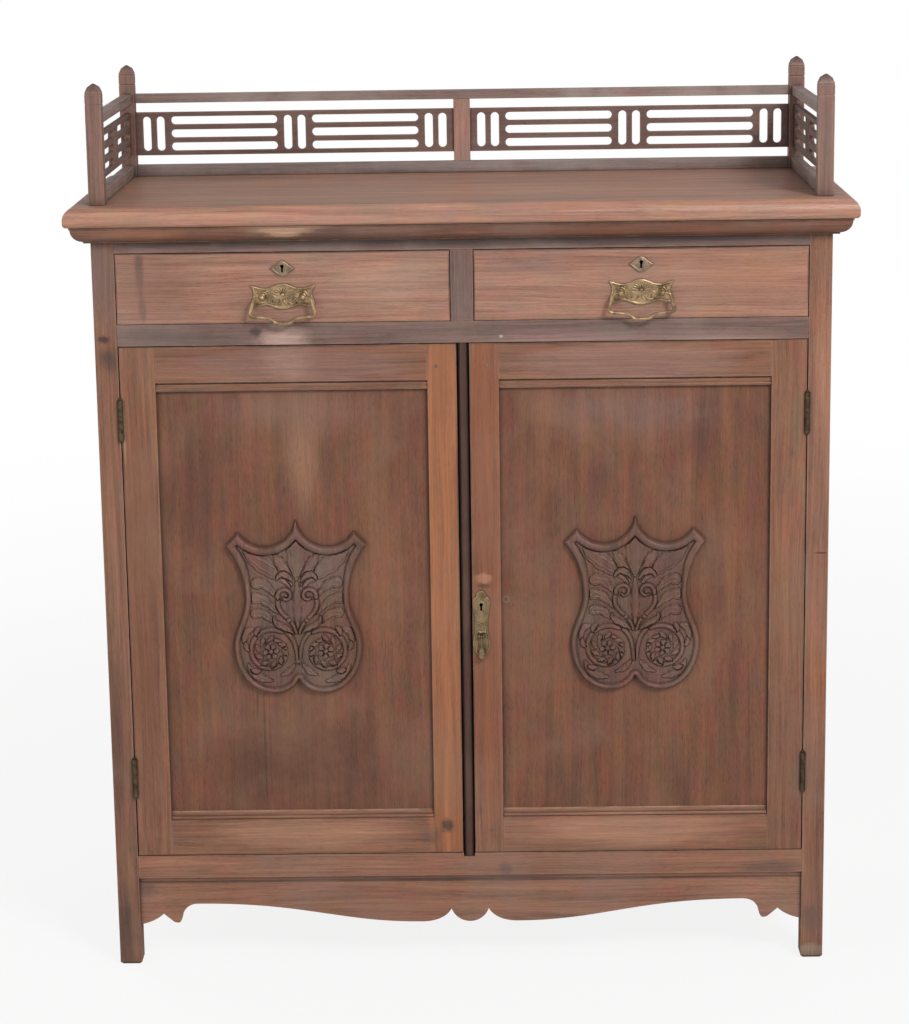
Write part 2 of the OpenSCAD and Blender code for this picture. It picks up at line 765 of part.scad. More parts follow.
// Rails and frets of the gallery enter the corner posts with these ends, at the right
module gallery_ends_x(gap = 0) {
    for (z = gallery_rail_z)
        tenon_x(x_post - post_w / 2, 1, y_posts[1], z[0], z[1], gap, gallery_tenon_l, gallery_shoulder);
    block([x_post - post_w / 2 - bite, y_posts[1] - fret_t / 2 - gap, z_fret - gap],
          [x_post - post_w / 2 + fret_tongue + (gap > 0 ? end_gap : 0), y_posts[1] + fret_t / 2 + gap,
           z_fret + fret_h + gap]);
}
module gallery_ends_y(y, dir, gap = 0) {
    for (z = gallery_rail_z)
        tenon_y(y, dir, x_post, z[0], z[1], gap, gallery_tenon_l, gallery_shoulder);
    far = y + dir * (fret_tongue + (gap > 0 ? end_gap : 0));
    block([x_post - fret_t / 2 - gap, min(y - dir * bite, far), z_fret - gap],
          [x_post + fret_t / 2 + gap, max(y - dir * bite, far), z_fret + fret_h + gap]);
}
module gallery_corner_posts() color(wood) both_sides() difference() {
    for (y = y_posts) translate([x_post, y, z_top]) {
        intersection() {
            run_y(-post_w / 2, post_w / 2) post_face();
            run_x(-post_w / 2, post_w / 2) post_face();
        }
        translate([0, 0, -dowel_l]) cylinder(r = dowel_r, h = dowel_l + bite);
    }
    gallery_ends_x(fit);
    gallery_ends_y(y_posts[0] + post_w / 2, -1, fit);
    gallery_ends_y(y_posts[1] - post_w / 2, 1, fit);
}
module gallery_back_rails() color(wood) difference() {
    union() {
        for (z = gallery_rail_z)
            block([-x_post + post_w / 2, y_posts[1] - gallery_rail_t / 2, z[0]],
                  [x_post - post_w / 2, y_posts[1] + gallery_rail_t / 2, z[1]]);
        both_sides() for (z = gallery_rail_z)
            tenon_x(x_post - post_w / 2, 1, y_posts[1], z[0], z[1], 0, gallery_tenon_l, gallery_shoulder);
    }
    centre_post_stubs(fit);
}
module centre_post_stubs(gap = 0) {
    z0 = gallery_rail_z[0][1] - gallery_stub_l;
    z1 = gallery_rail_z[1][0] + gallery_stub_l;
    block([-mid_post_w / 4 - gap, y_posts[1] - fret_t / 2 - gap, z0 - gap],
          [mid_post_w / 4 + gap, y_posts[1] + fret_t / 2 + gap, z1 + gap]);
}
module gallery_centre_post() color(wood) difference() {
    union() {
        block([-mid_post_w / 2, y_posts[1] - gallery_rail_t / 2, gallery_rail_z[0][1]],
              [mid_post_w / 2, y_posts[1] + gallery_rail_t / 2, gallery_rail_z[1][0]]);
        centre_post_stubs();
    }
    both_sides()
        block([mid_post_w / 2 - fret_tongue - end_gap, y_posts[1] - fret_t / 2 - fit, z_fret - fit],
              [mid_post_w / 2 + bite, y_posts[1] + fret_t / 2 + fit, z_fret + fret_h + fit]);
}
module gallery_side_rails() color(wood) both_sides() for (z = gallery_rail_z) {
    block([x_post - gallery_rail_t / 2, y_posts[0] + post_w / 2, z[0]],
          [x_post + gallery_rail_t / 2, y_posts[1] - post_w / 2, z[1]]);
    tenon_y(y_posts[0] + post_w / 2, -1, x_post, z[0], z[1], 0, gallery_tenon_l, gallery_shoulder);
    tenon_y(y_posts[1] - post_w / 2, 1, x_post, z[0], z[1], 0, gallery_tenon_l, gallery_shoulder);
}

// Sum of the first i values of a list
function before(list, i) = i == 0 ? 0 : list[i - 1] + before(list, i - 1);
// Slot with round ends, centred, its long side along the second direction
module slot(l) {
    square([slot_w, l - slot_w], center = true);
    for (s = [-1, 1]) translate([0, s * (l - slot_w) / 2]) circle(slot_w / 2);
}
// Face of a fret: U is an upright pair of slots and L is three long ones, one over the other
module fret_face(clear, groups) {
    n = len(groups);
    pair_w = 2 * slot_w + pair_gap;
    pairs = before([for (g = groups) g == "U" ? 1 : 0], n);
    long_l = (clear - 2 * fret_margin - pairs * pair_w - (n - 1) * group_gap) / (n - pairs);
    widths = [for (g = groups) (g == "U" ? pair_w : long_l) + group_gap];
    long_pitch = (slot_l - slot_w) / 2;
    difference() {
        translate([-fret_tongue, 0]) square([clear + 2 * fret_tongue, fret_h]);
        for (i = [0 : n - 1]) translate([fret_margin + before(widths, i), fret_h / 2])
            if (groups[i] == "U") {
                for (x = [slot_w / 2, pair_w - slot_w / 2]) translate([x, 0]) slot(slot_l);
            } else {
                for (k = [-1 : 1]) translate([long_l / 2, k * long_pitch]) rotate(90) slot(long_l);
            }
    }
}
module gallery_back_frets() color(wood) both_sides()
    translate([mid_post_w / 2, y_posts[1], z_fret]) run_y(-fret_t / 2, fret_t / 2)
        fret_face(x_post - post_w / 2 - mid_post_w / 2, ["U", "L", "U", "L", "U"]);
module gallery_side_frets() color(wood) both_sides()
    translate([x_post, y_posts[0] + post_w / 2, z_fret]) run_x(-fret_t / 2, fret_t / 2)
        fret_face(y_posts[1] - y_posts[0] - post_w, ["L", "U", "L"]);

// Hinges: the axis of the right-hand ones, and the height of one of the five knuckles
x_hinge = xi - hinge_gap / 2;
y_hinge = yf - hinge_proud;
knuckle_h = hinge_h / 5;
hinge_zs = [hinge_low_z, hinge_top_z];
// Knuckles numbered in the list, of radius r; a pitch is left free of its neighbours by a gap
module knuckles(numbers, z, r, gap) for (i = numbers)
    hinge_rod(z - hinge_h / 2 + (i + 0.5) * knuckle_h, r, knuckle_h - 2 * gap);
// Upright rod on the axis, centred at a height
module hinge_rod(z, r, h) translate([x_hinge, y_hinge, z - h / 2]) cylinder(r = r, h = h);
// Flat of a leaf on one side of the axis
module leaf_flat(z, dir, gap = 0) {
    near = x_hinge + dir * leaf_gap / 2;
    far = near + dir * (leaf_t + gap);
    block([min(near, far), y_hinge, z - hinge_h / 2 - gap],
          [max(near, far), yf + leaf_w + gap, z + hinge_h / 2 + gap]);
}
module case_leaf_seat(z) {
    leaf_flat(z, 1, fit);
    knuckle_seat(z);
}
module door_leaf_seat(z) {
    leaf_flat(z, -1, fit);
    knuckle_seat(z);
}
// Seat of the knuckles and of the pin's round tips
module knuckle_seat(z) {
    hinge_rod(z, knuckle_r + slide_gap, hinge_h + 2 * fit);
    hinge_rod(z, pin_r + fit, hinge_h + 2 * (pin_tip + pin_r + fit));
}
module case_hinge_leaves() color(brass) both_sides() for (z = hinge_zs) difference() {
    union() {
        leaf_flat(z, 1);
        knuckles([0, 2, 4], z, knuckle_r, slide_gap / 2);
    }
    knuckles([1, 3], z, knuckle_r + slide_gap, -slide_gap / 2);
    hinge_rod(z, pin_r + pin_gap, hinge_h + 2 * bite);
}
module door_hinge_leaves() color(brass) for (z = hinge_zs) {
    difference() {
        union() {
            leaf_flat(z, -1);
            knuckles([1, 3], z, knuckle_r, slide_gap / 2);
        }
        knuckles([0, 2, 4], z, knuckle_r + slide_gap, -slide_gap / 2);
    }
    hinge_rod(z, pin_r, hinge_h + 2 * pin_tip);
    for (s = [-1, 1]) translate([x_hinge, y_hinge, z + s * (hinge_h / 2 + pin_tip)])
        sphere(r = pin_r);
}

// Edges of the right-hand door
x_meet = muntin_w / 2 + door_gap;
x_hang = xi - hinge_gap;
z_door0 = z_floor + door_gap;
z_door1 = z_mid - door_gap;
x_rail0 = x_meet + meeting_stile_w;
x_rail1 = x_hang - hinge_stile_w;
y_door = yf + door_t / 2;
door_rail_z = [[z_door0, z_door0 + door_low_h], [z_door1 - door_top_h, z_door1]];
// Tenons of a door's rails, which leave room for the panel's groove
module door_tenons(gap = 0) for (z = door_rail_z) {
    tenon_x(x_rail1, 1, y_door, z[0] + groove_d, z[1], gap, door_tenon_l);
    tenon_x(x_rail0, -1, y_door, z[0] + groove_d, z[1], gap, door_tenon_l);
}
// Door panel with its edges in the grooves of the frame
module door_panel_body(gap = 0) {
    in = groove_d - (gap > 0 ? 0 : end_gap);
    block([x_rail0 - in, yf + panel_recess - gap, door_rail_z[0][1] - in],
          [x_rail1 + in, yf + panel_recess + door_panel_t + gap, door_rail_z[1][0] + in]);
}
module door_stiles() difference() {
    for (x = [[x_meet, x_rail0], [x_rail1, x_hang]])
        block([x[0], yf, z_door0], [x[1], yf + door_t, z_door1]);
    door_tenons(fit);
    door_panel_body(fit);
    for (z = hinge_zs) door_leaf_seat(z);
}
// The top rail steps down to a bead, and the bottom rail slopes up to the panel
module door_rails() difference() {
    union() {
        run_x(x_rail0, x_rail1) {
            difference() {
                translate([yf + bead_recess, door_rail_z[1][0]]) square([door_t - bead_recess, door_top_h]);
                translate([yf + bead_recess - bite, door_rail_z[1][0] + bead_step - bead_r])
                    square([bite + bead_recess / 2, bead_r]);
            }
            translate([yf, door_rail_z[1][0] + bead_step]) square([door_t, door_top_h - bead_step]);
            translate([yf + bead_recess + bead_r / 2, door_rail_z[1][0] + bead_r]) circle(bead_r);
            polygon([[yf, z_door0], [yf + door_t, z_door0], [yf + door_t, door_rail_z[0][1]],
                     [yf + panel_recess, door_rail_z[0][1]], [yf, door_rail_z[0][1] - bevel_h]]);
        }
        door_tenons();
    }
    door_panel_body(fit);
}

// Half outline of the shield, from the peak down to the notch between its lobes
function shield_edge() = let (w = shield_w / 2, h = shield_h / 2) [for (p = concat(
    curve([0, 1], [0.03, 0.83], [0.22, 0.69], [0.44, 0.69]),
    curve([0.44, 0.69], [0.6, 0.69], [0.74, 0.76], [0.815, 0.86]),
    [[0.815, 0.86]],
    curve([1, 0.71], [0.87, 0.6], [0.73, 0.38], [0.73, 0.11]),
    curve([0.73, 0.11], [0.73, -0.1], [0.91, -0.26], [0.91, -0.45]),
    curve([0.91, -0.45], [0.91, -0.76], [0.68, -1], [0.36, -1]),
    curve([0.36, -1], [0.17, -1], [0.05, -0.93], [0, -0.84]),
    [[0, -0.84]])) [w * p[0], h * p[1]]];
module shield_slice(inset, from, to) translate([0, 0, from]) linear_extrude(to - from)
    offset(delta = -inset) polygon(closed(shield_edge()));
// Shield lying on its back: a ground, a rim in two steps, and the main masses of the carving
module shield_flat() {
    w = shield_w / 2;
    h = shield_h / 2;
    shield_slice(0, 0, shield_ground_t);
    difference() {
        union() {
            shield_slice(0, shield_ground_t - bite, shield_t - rim_step);
            shield_slice(rim_step, shield_t - rim_step - bite, shield_t);
        }
        shield_slice(shield_rim_w, shield_ground_t, shield_t + bite);
    }
    for (s = [-1, 1]) translate([s * 0.42 * w, -0.52 * h, shield_ground_t - bite]) rosette(0.27 * w);
    carved_leaf([0, 0], 0, 0.2 * w, 0.38 * h);
    for (s = [-1, 1], a = [38, 72]) {
        place = [s * (0.1 * w + 0.25 * h * sin(a)), h * (0.1 + 0.25 * cos(a))];
        carved_leaf(place, -s * a, 0.13 * w, 0.2 * h);
    }
}
// Leaf raised from the ground at a place, turned by an angle
module carved_leaf(place, angle, w, h) translate([place[0], place[1], shield_ground_t - bite])
    rotate(angle) linear_extrude(rim_step + bite) polygon(closed(leaf_edge(w, h)));
// Half outline of a pointed leaf, centred
function leaf_edge(w, h) = concat(
    curve([0, h], [w * 0.3, h * 0.5], [w, h * 0.4], [w, 0]),
    curve([w, 0], [w, -h * 0.5], [w * 0.4, -h * 0.7], [0, -h]), [[0, -h]]);
// Round flower: a ring, six petals and a boss
module rosette(r) {
    rotate_extrude() translate([r, rim_step]) circle(rim_step);
    cylinder(r = r * 0.28, h = rim_step * 2);
    for (a = [0 : 60 : 300]) rotate(a) translate([r * 0.58, 0, 0])
        cylinder(r = r * 0.24, h = rim_step * 1.5);
}
module door_shield() translate([(x_rail0 + x_rail1) / 2, yf + panel_recess, shield_z])
    rotate([90, 0, 0]) shield_flat();

module right_door_stiles() color(edge_wood) difference() {
    door_stiles();
    block([x_meet - bite, y_door_lock, z_lock0 - fit],
          [x_meet + door_lock_w + fit, yf + door_t + bite, z_lock0 + door_lock_h + fit]);
    keyhole(x_lock_plate, door_key_z, yf - bite, y_door_lock + bite);
}
module left_door_stiles() color(edge_wood) mirror([1, 0, 0]) door_stiles();
module right_door_rails() color(wood) door_rails();
module left_door_rails() color(wood) mirror([1, 0, 0]) door_rails();
module right_door_panel() color(panel_wood) door_panel_body();
module left_door_panel() color(panel_wood) mirror([1, 0, 0]) door_panel_body();
module right_door_shield() color(panel_wood) door_shield();
module left_door_shield() color(panel_wood) mirror([1, 0, 0]) door_shield();
module right_door_hinge_leaves() door_hinge_leaves();
module left_door_hinge_leaves() mirror([1, 0, 0]) door_hinge_leaves();

// Hole for a key, along Y
module keyhole(x, z, y0, y1) {
    translate([x, y1, z]) rotate([90, 0, 0]) cylinder(r = keyhole_r, h = y1 - y0);
    block([x - keyhole_slot / 2, y0, z + keyhole_r - keyhole_l], [x + keyhole_slot / 2, y1, z]);
}
// Bolt of the door's lock: it slides sideways into the muntin
x_lock_plate = x_meet + lock_plate_w / 2 + door_gap / 2;
y_door_lock = yf + door_t - lock_t;
z_lock0 = door_key_z - door_lock_h * 0.6;
z_door_bolt = z_lock0 + door_lock_h - door_bolt_h;
module door_bolt_body(x0, x1, gap = 0) {
    y = yf + door_t - lock_t / 2;
    block([x0, y - lock_bolt_t / 2 - gap, z_door_bolt - door_bolt_h / 2 - gap],
          [x1, y + lock_bolt_t / 2 + gap, z_door_bolt + door_bolt_h / 2 + gap]);
}
module door_bolt_pocket() door_bolt_body(x_meet - door_gap - door_bolt_travel, x_meet, slide_gap);
module door_lock() color(brass) difference() {
    block([x_meet, y_door_lock, z_lock0], [x_meet + door_lock_w, yf + door_t, z_lock0 + door_lock_h]);
    door_bolt_body(x_meet - bite, x_meet + door_bolt_l + slide_gap, slide_gap);
    keyhole(x_lock_plate, door_key_z, y_door_lock - bite, y_door_lock + lock_t / 2);
}
module door_lock_bolt() color(brass) door_bolt_body(x_meet, x_meet + door_bolt_l);

// Half outline of the door's lock plate, with its top at 0
function lock_plate_edge() = let (w = lock_plate_w / 2, l = lock_plate_h) concat(
    curve([0, 0], [w * 0.5, 0], [w * 0.5, -l * 0.04], [w * 0.62, -l * 0.09]),
    curve([w * 0.62, -l * 0.09], [w * 0.8, -l * 0.1], [w, -l * 0.1], [w, -l * 0.16]),
    curve([w, -l * 0.16], [w, -l * 0.3], [w * 0.72, -l * 0.34], [w * 0.72, -l * 0.5]),
    curve([w * 0.72, -l * 0.5], [w * 0.72, -l * 0.66], [w, -l * 0.66], [w, -l * 0.78]),
    curve([w, -l * 0.78], [w, -l * 0.9], [w * 0.5, -l * 0.9], [0, -l]), [[0, -l]]);
z_pull = door_key_z - pull_drop;
y_pull = yf - plate_t - pull_stand;
module door_lock_plate() color(brass) difference() {
    union() {
        translate([x_lock_plate, 0, door_key_z + lock_plate_top])
            run_y(yf - plate_t, yf) polygon(closed(lock_plate_edge()));
        for (s = [-1, 1]) {
            x0 = x_lock_plate + s * (ear_in + ear_t / 2) - ear_t / 2;
            block([x0, y_pull, z_pull - ear_r], [x0 + ear_t, yf - plate_t + bite / 2, z_pull + ear_r]);
            translate([x0, y_pull, z_pull]) rotate([0, 90, 0]) cylinder(r = ear_r, h = ear_t);
        }
    }
    keyhole(x_lock_plate, door_key_z, yf - plate_t - bite, yf + bite);
    translate([x_lock_plate - ear_in - ear_t - bite, y_pull, z_pull]) rotate([0, 90, 0])
        cylinder(r = pull_pin_r + pin_gap, h = 2 * (ear_in + ear_t + bite));
}
// Half section of the drop, from its eye to its round foot
function drop_edge() = let (r = pull_r, l = pull_l) concat(
    [[0, 0]],
    curve([ear_in - slide_gap, 0], [ear_in - slide_gap, -l * 0.35],
          [r * 0.35, -l * 0.4], [r * 0.8, -l * 0.72]),
    curve([r * 0.8, -l * 0.72], [r, -l * 0.85], [r * 0.8, -l], [0, -l]), [[0, -l]]);
module drop_pull() color(brass) translate([x_lock_plate, y_pull, z_pull]) {
    translate([-ear_in - ear_t, 0, 0]) rotate([0, 90, 0]) cylinder(r = pull_pin_r, h = 2 * (ear_in + ear_t));
    rotate_extrude() polygon(drop_edge());
}

// Bolt inside the left door, which slides up into the mid rail
x_slide_bolt = -(x_meet + meeting_stile_w / 2 + 6);
y_slide_bolt = yf + door_t + plate_t + slide_bolt_r + slide_gap;
z_slide_bolt = z_door1 - slide_bolt_l - bite;
module slide_bolt_plate() color(brass) difference() {
    union() {
        block([x_slide_bolt - staple_w, yf + door_t, z_door1 - slide_plate_h - bite],
              [x_slide_bolt + staple_w, yf + door_t + plate_t, z_door1 - bite]);
        staple_half = slide_bolt_r + plate_t;
        for (z = [z_door1 - bite - staple_h, z_door1 - slide_plate_h])
            block([x_slide_bolt - staple_half, yf + door_t + plate_t - bite / 2, z],
                  [x_slide_bolt + staple_half, y_slide_bolt + staple_half, z + staple_h]);
    }
    translate([x_slide_bolt, y_slide_bolt, z_door1 - slide_plate_h - 2 * bite])
        cylinder(r = slide_bolt_r + pin_gap, h = slide_plate_h + 2 * bite);
}
module slide_bolt() color(brass) {
    translate([x_slide_bolt, y_slide_bolt, z_slide_bolt]) cylinder(r = slide_bolt_r, h = slide_bolt_l);
    translate([x_slide_bolt, y_slide_bolt, z_door1 - slide_plate_h / 2 - slide_bolt_travel])
        rotate([-90, 0, 0]) cylinder(r = slide_bolt_r * 0.8, h = slide_bolt_r * 3);
}

// Edges of the right-hand drawer
x_dr0 = x_drawer_in + drawer_gap;
x_dr1 = xi - drawer_gap;
z_dr0 = z_drawer + slide_gap;
y_dr_end = yb - back_rail_t - drawer_back_gap;
tail_pitch = (z_front_top - z_dr0) / tail_count;
// Dovetails of a drawer's left side in the front; a gap above 0 makes their sockets
module tails(gap = 0) for (i = [0 : tail_count - 1]) {
    z = z_dr0 + (i + 0.5) * tail_pitch;
    y = yf + front_t;
    run_x(x_dr0 - (gap > 0 ? bite : 0), x_dr0 + side_t + gap) polygon([
        [y + bite, z - tail_pitch * 0.25 - gap], [y, z - tail_pitch * 0.25 - gap],
        [y - tail_l - gap, z - tail_pitch * 0.35 - gap], [y - tail_l - gap, z + tail_pitch * 0.35 + gap],
        [y, z + tail_pitch * 0.25 + gap], [y + bite, z + tail_pitch * 0.25 + gap]]);
}
// A shape and its mirror image in the middle of the right-hand drawer
module both_ends() {
    children();
    translate([2 * x_drawer_mid, 0, 0]) mirror([1, 0, 0]) children();
}
module drawer_bottom_body(gap = 0) {
    in = housing_d - (gap > 0 ? 0 : end_gap);
    block([x_dr0 + side_t - in, yf + front_t - in, z_dr0 + bottom_rise - gap],
          [x_dr1 - side_t + in, y_dr_end + (gap > 0 ? bite : 0), z_dr0 + bottom_rise + bottom_t + gap]);
}
module drawer_back_body(gap = 0) {
    in = housing_d - (gap > 0 ? 0 : end_gap);
    block([x_dr0 + side_t - in, y_dr_end - 2 * side_t - gap, z_dr0 + bottom_rise + bottom_t + fit],
          [x_dr1 - side_t + in, y_dr_end - side_t + gap, z_front_top - side_t / 2 + gap]);
}
z_bail = z_dr0 + bail_rise;
y_bail = yf - plate_t - bail_stand;
module drawer_front() difference() {
    block([x_dr0, yf, z_dr0], [x_dr1, yf + front_t, z_front_top]);
    both_ends() tails(fit);
    drawer_bottom_body(fit);
    block([x_drawer_mid - drawer_lock_w / 2 - fit, yf + front_t - lock_t, z_front_top - drawer_lock_h - fit],
          [x_drawer_mid + drawer_lock_w / 2 + fit, yf + front_t + bite, z_front_top + bite]);
    keyhole(x_drawer_mid, z_key, yf - bite, yf + front_t);
    for (s = [-1, 1]) translate([x_drawer_mid + s * bail_span / 2, yf + shank_l + fit, z_bail])
        rotate([90, 0, 0]) cylinder(r = shank_r + fit, h = shank_l + fit + bite);
}
module drawer_sides() both_ends() difference() {
    union() {
        block([x_dr0, yf + front_t, z_dr0], [x_dr0 + side_t, y_dr_end, z_front_top]);
        tails();
    }
    drawer_bottom_body(fit);
    drawer_back_body(fit);
}
// Bolt of a drawer's lock: it slides up into the top rail
module drawer_bolt_body(z0, z1, gap = 0) {
    y = yf + front_t - lock_t / 2;
    block([x_drawer_mid - drawer_bolt_w / 2 - gap, y - lock_bolt_t / 2 - gap, z0],
          [x_drawer_mid + drawer_bolt_w / 2 + gap, y + lock_bolt_t / 2 + gap, z1]);
}
module drawer_bolt_pocket() drawer_bolt_body(z_rail - bite, z_rail + drawer_bolt_travel, slide_gap);
module drawer_lock() difference() {
    block([x_drawer_mid - drawer_lock_w / 2, yf + front_t - lock_t, z_front_top - drawer_lock_h],
          [x_drawer_mid + drawer_lock_w / 2, yf + front_t, z_front_top]);
    drawer_bolt_body(z_front_top - drawer_bolt_l - slide_gap, z_front_top + bite, slide_gap);
    keyhole(x_drawer_mid, z_key, yf, yf + front_t - lock_t / 2);
}
module drawer_lock_bolt() drawer_bolt_body(z_front_top - drawer_bolt_l, z_front_top);

// Half outlines of a drawer's escutcheon and its backplate, about their middles
function scutcheon_edge() = let (w = scutcheon_w / 2, h = scutcheon_h / 2) concat(
    curve([0, h], [w * 0.3, h * 0.95], [w * 0.62, h * 0.2], [w, 0]),
    curve([w, 0], [w * 0.62, -h * 0.3], [w * 0.42, -h * 0.95], [0, -h]), [[0, -h]]);
function backplate_edge() = let (w = plate_w / 2, h = plate_h / 2) concat(
    curve([0, h], [w * 0.25, h], [w * 0.3, h * 0.6], [w * 0.6, h * 0.64]),
    curve([w * 0.6, h * 0.64], [w * 0.78, h * 0.68], [w * 0.9, h * 0.9], [w, h * 0.86]),
    curve([w, h * 0.86], [w * 0.92, h * 0.6], [w * 0.86, h * 0.25], [w * 0.9, 0]),
    curve([w * 0.9, 0], [w * 0.94, -h * 0.25], [w, -h * 0.5], [w * 0.96, -h * 0.8]),
    curve([w * 0.96, -h * 0.8], [w * 0.8, -h * 0.95], [w * 0.6, -h * 0.55], [w * 0.42, -h * 0.72]),
    curve([w * 0.42, -h * 0.72], [w * 0.3, -h * 0.85], [w * 0.14, -h], [0, -h]), [[0, -h]]);
module drawer_plates() difference() {
    union() {
        translate([x_drawer_mid, 0, z_key + keyhole_r - keyhole_l / 2])
            run_y(yf - plate_t, yf) polygon(closed(scutcheon_edge()));
        translate([x_drawer_mid, 0, z_bail]) run_y(yf - plate_t, yf) polygon(closed(backplate_edge()));
        for (s = [-1, 1]) translate([x_drawer_mid + s * bail_span / 2, yf + shank_l, z_bail])
            rotate([90, 0, 0]) rotate_extrude() polygon(handle_post_edge());
    }
    keyhole(x_drawer_mid, z_key, yf - plate_t - bite, yf + bite);
    for (s = [-1, 1]) translate([x_drawer_mid + s * bail_span / 2 - handle_post_r - bite, y_bail, z_bail])
        rotate([0, 90, 0]) cylinder(r = bail_pin_r + pin_gap, h = 2 * (handle_post_r + bite));
}
// Half section of a handle's turned post, from its shank in the wood to its round head
function handle_post_edge() = let (foot = shank_l + plate_t / 2, neck = handle_post_r * 0.7,
    head = shank_l + plate_t + bail_stand, r = handle_post_r) concat(
    [[0, 0], [shank_r, 0], [shank_r, foot], [r * 1.25, foot], [r * 1.25, foot + plate_t]],
    curve([neck, foot + plate_t * 2], [neck, head - r * 1.6], [neck, head - r * 1.2], [r, head - r]),
    arc([0, head], r * 1.15, -45, 90), [[0, head + r * 1.15]]);

// Points of a wire that runs and bends, [[run, radius, angle], ...], each with its heading
function wire_path(steps, i = 0, x = 0, z = 0, a = 0) = i == len(steps) ? [[x, z, a]] : let (
    r = steps[i][1], turn = steps[i][2], side = sign(turn), n = max(1, round(abs(turn) / wire_step)),
    x1 = x + steps[i][0] * cos(a), z1 = z + steps[i][0] * sin(a)
) concat([[x, z, a]],
    [for (k = [0 : n - 1]) let (b = a + turn * k / n)
        [x1 + side * r * (sin(b) - sin(a)), z1 - side * r * (cos(b) - cos(a)), b]],
    wire_path(steps, i + 1, x1 + side * r * (sin(a + turn) - sin(a)),
              z1 - side * r * (cos(a + turn) - cos(a)), a + turn));
// Wire with a ring of points round each point of its path
module wire(r, path) {
    n = len(path);
    polyhedron(
        points = [for (p = path, k = [0 : wire_sides - 1]) let (u = r * cos(k * 360 / wire_sides))
            [p[0] - u * sin(p[2]), r * sin(k * 360 / wire_sides), p[1] + u * cos(p[2])]],
        faces = concat([[for (k = [wire_sides - 1 : -1 : 0]) k]],
            [for (i = [0 : n - 2], k = [0 : wire_sides - 1], h = [0, 1]) let (
                a = i * wire_sides, b = a + wire_sides, k1 = (k + 1) % wire_sides)
                h == 0 ? [a + k, a + k1, b + k] : [a + k1, b + k1, b + k]],
            [[for (k = [0 : wire_sides - 1]) (n - 1) * wire_sides + k]]));
}
// Runs and bends of half a bail, from its pin out, down, and in along its dipped bar
bail_bends = [
    [bail_elbow / 3, bail_elbow, -74],
    [bail_drop, bail_elbow * 0.75, -100],
    [bail_span / 2 - bail_bar, 2 * bail_elbow, 32],
    [bail_elbow * 0.8, 2 * bail_elbow, -38]
];
module drawer_bail() {
    // The wire starts beside a post; the last run brings its half to the middle
    x0 = bail_span / 2 + handle_post_r * 1.15 + slide_gap;
    half = wire_path(bail_bends);
    last = half[len(half) - 1];
    right = [for (i = [0 : len(half) - 2])
        if (norm([half[i][0] - half[i + 1][0], half[i][1] - half[i + 1][1]]) > fit)
            [half[i][0] + x0, half[i][1], half[i][2]]];
    left = [for (i = [len(right) - 1 : -1 : 0]) [-right[i][0], right[i][1], -right[i][2] - 360]];
    translate([x_drawer_mid, y_bail, z_bail]) {
        wire(bail_r, concat(right, [[0, last[1], -180]], left));
        for (s = [-1, 1]) translate([s * x0, 0, 0]) rotate([0, -s * 90, 0])
            translate([0, 0, -bite]) cylinder(r = bail_pin_r, h = bite + x0 - bail_span / 2 + handle_post_r);
    }
}

module right_drawer_front() color(front_wood) drawer_front();
module left_drawer_front() color(front_wood) mirror([1, 0, 0]) drawer_front();
module right_drawer_sides() color(inside_wood) drawer_sides();
module left_drawer_sides() color(inside_wood) mirror([1, 0, 0]) drawer_sides();
module right_drawer_back() color(inside_wood) drawer_back_body();
module left_drawer_back() color(inside_wood) mirror([1, 0, 0]) drawer_back_body();
module right_drawer_bottom() color(inside_wood) drawer_bottom_body();
module left_drawer_bottom() color(inside_wood) mirror([1, 0, 0]) drawer_bottom_body();
module right_drawer_plates() color(brass) drawer_plates();
module left_drawer_plates() color(brass) mirror([1, 0, 0]) drawer_plates();
module right_drawer_lock() color(brass) drawer_lock();
module left_drawer_lock() color(brass) mirror([1, 0, 0]) drawer_lock();
module right_drawer_lock_bolt() color(brass) drawer_lock_bolt();
module left_drawer_lock_bolt() color(brass) mirror([1, 0, 0]) drawer_lock_bolt();
module right_bail() color(brass) drawer_bail();
module left_bail() color(brass) mirror([1, 0, 0]) drawer_bail();

front_legs();
back_legs();
top_rail();
drawer_divider();
mid_rail();
centre_muntin();
bottom_rail();
apron();
side_rails();
side_panels();
back_rails();
back_boards();
drawer_runners();
drawer_guides();
kickers();
cupboard_floor();
shelf();
bearers();
drawer_stops();
top_board();
bed_moulding();
gallery_corner_posts();
gallery_centre_post();
gallery_back_rails();
gallery_side_rails();
gallery_back_frets();
gallery_side_frets();
case_hinge_leaves();
left_door_stiles();
left_door_rails();
left_door_panel();
left_door_shield();
left_door_hinge_leaves();
slide_bolt_plate();
slide_bolt();
right_door_stiles();
right_door_rails();
right_door_panel();
right_door_shield();
right_door_hinge_leaves();
door_lock_plate();
door_lock();
door_lock_bolt();
drop_pull();
left_drawer_front();
left_drawer_sides();
left_drawer_back();
left_drawer_bottom();
left_drawer_plates();
left_drawer_lock();
left_drawer_lock_bolt();
left_bail();
right_drawer_front();
right_drawer_sides();
right_drawer_back();
right_drawer_bottom();
right_drawer_plates();
right_drawer_lock();
right_drawer_lock_bolt();
right_bail();
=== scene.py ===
# %% [markdown]
# # A buffet cabinet and its worn brown wood
# The cabinet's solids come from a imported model, at their real size and place. This script gives each of
# them the look of an old, waxed and worn piece of furniture. It never moves them. A visible board is
# copied, its loose triangles are merged, its edges are rounded as a hand plane leaves them, and the copy
# stands for the solid. Carving, stamped brass, screws and nails are made here, because they are finer than
# the solids need to be.

# %% Load the solids
import json
from contextlib import contextmanager
from itertools import combinations
from math import cos, radians, sin, tau
from zlib import crc32

import bmesh
import bpy
import numpy as np
from mathutils import Matrix, Vector
from mathutils.geometry import delaunay_2d_cdt


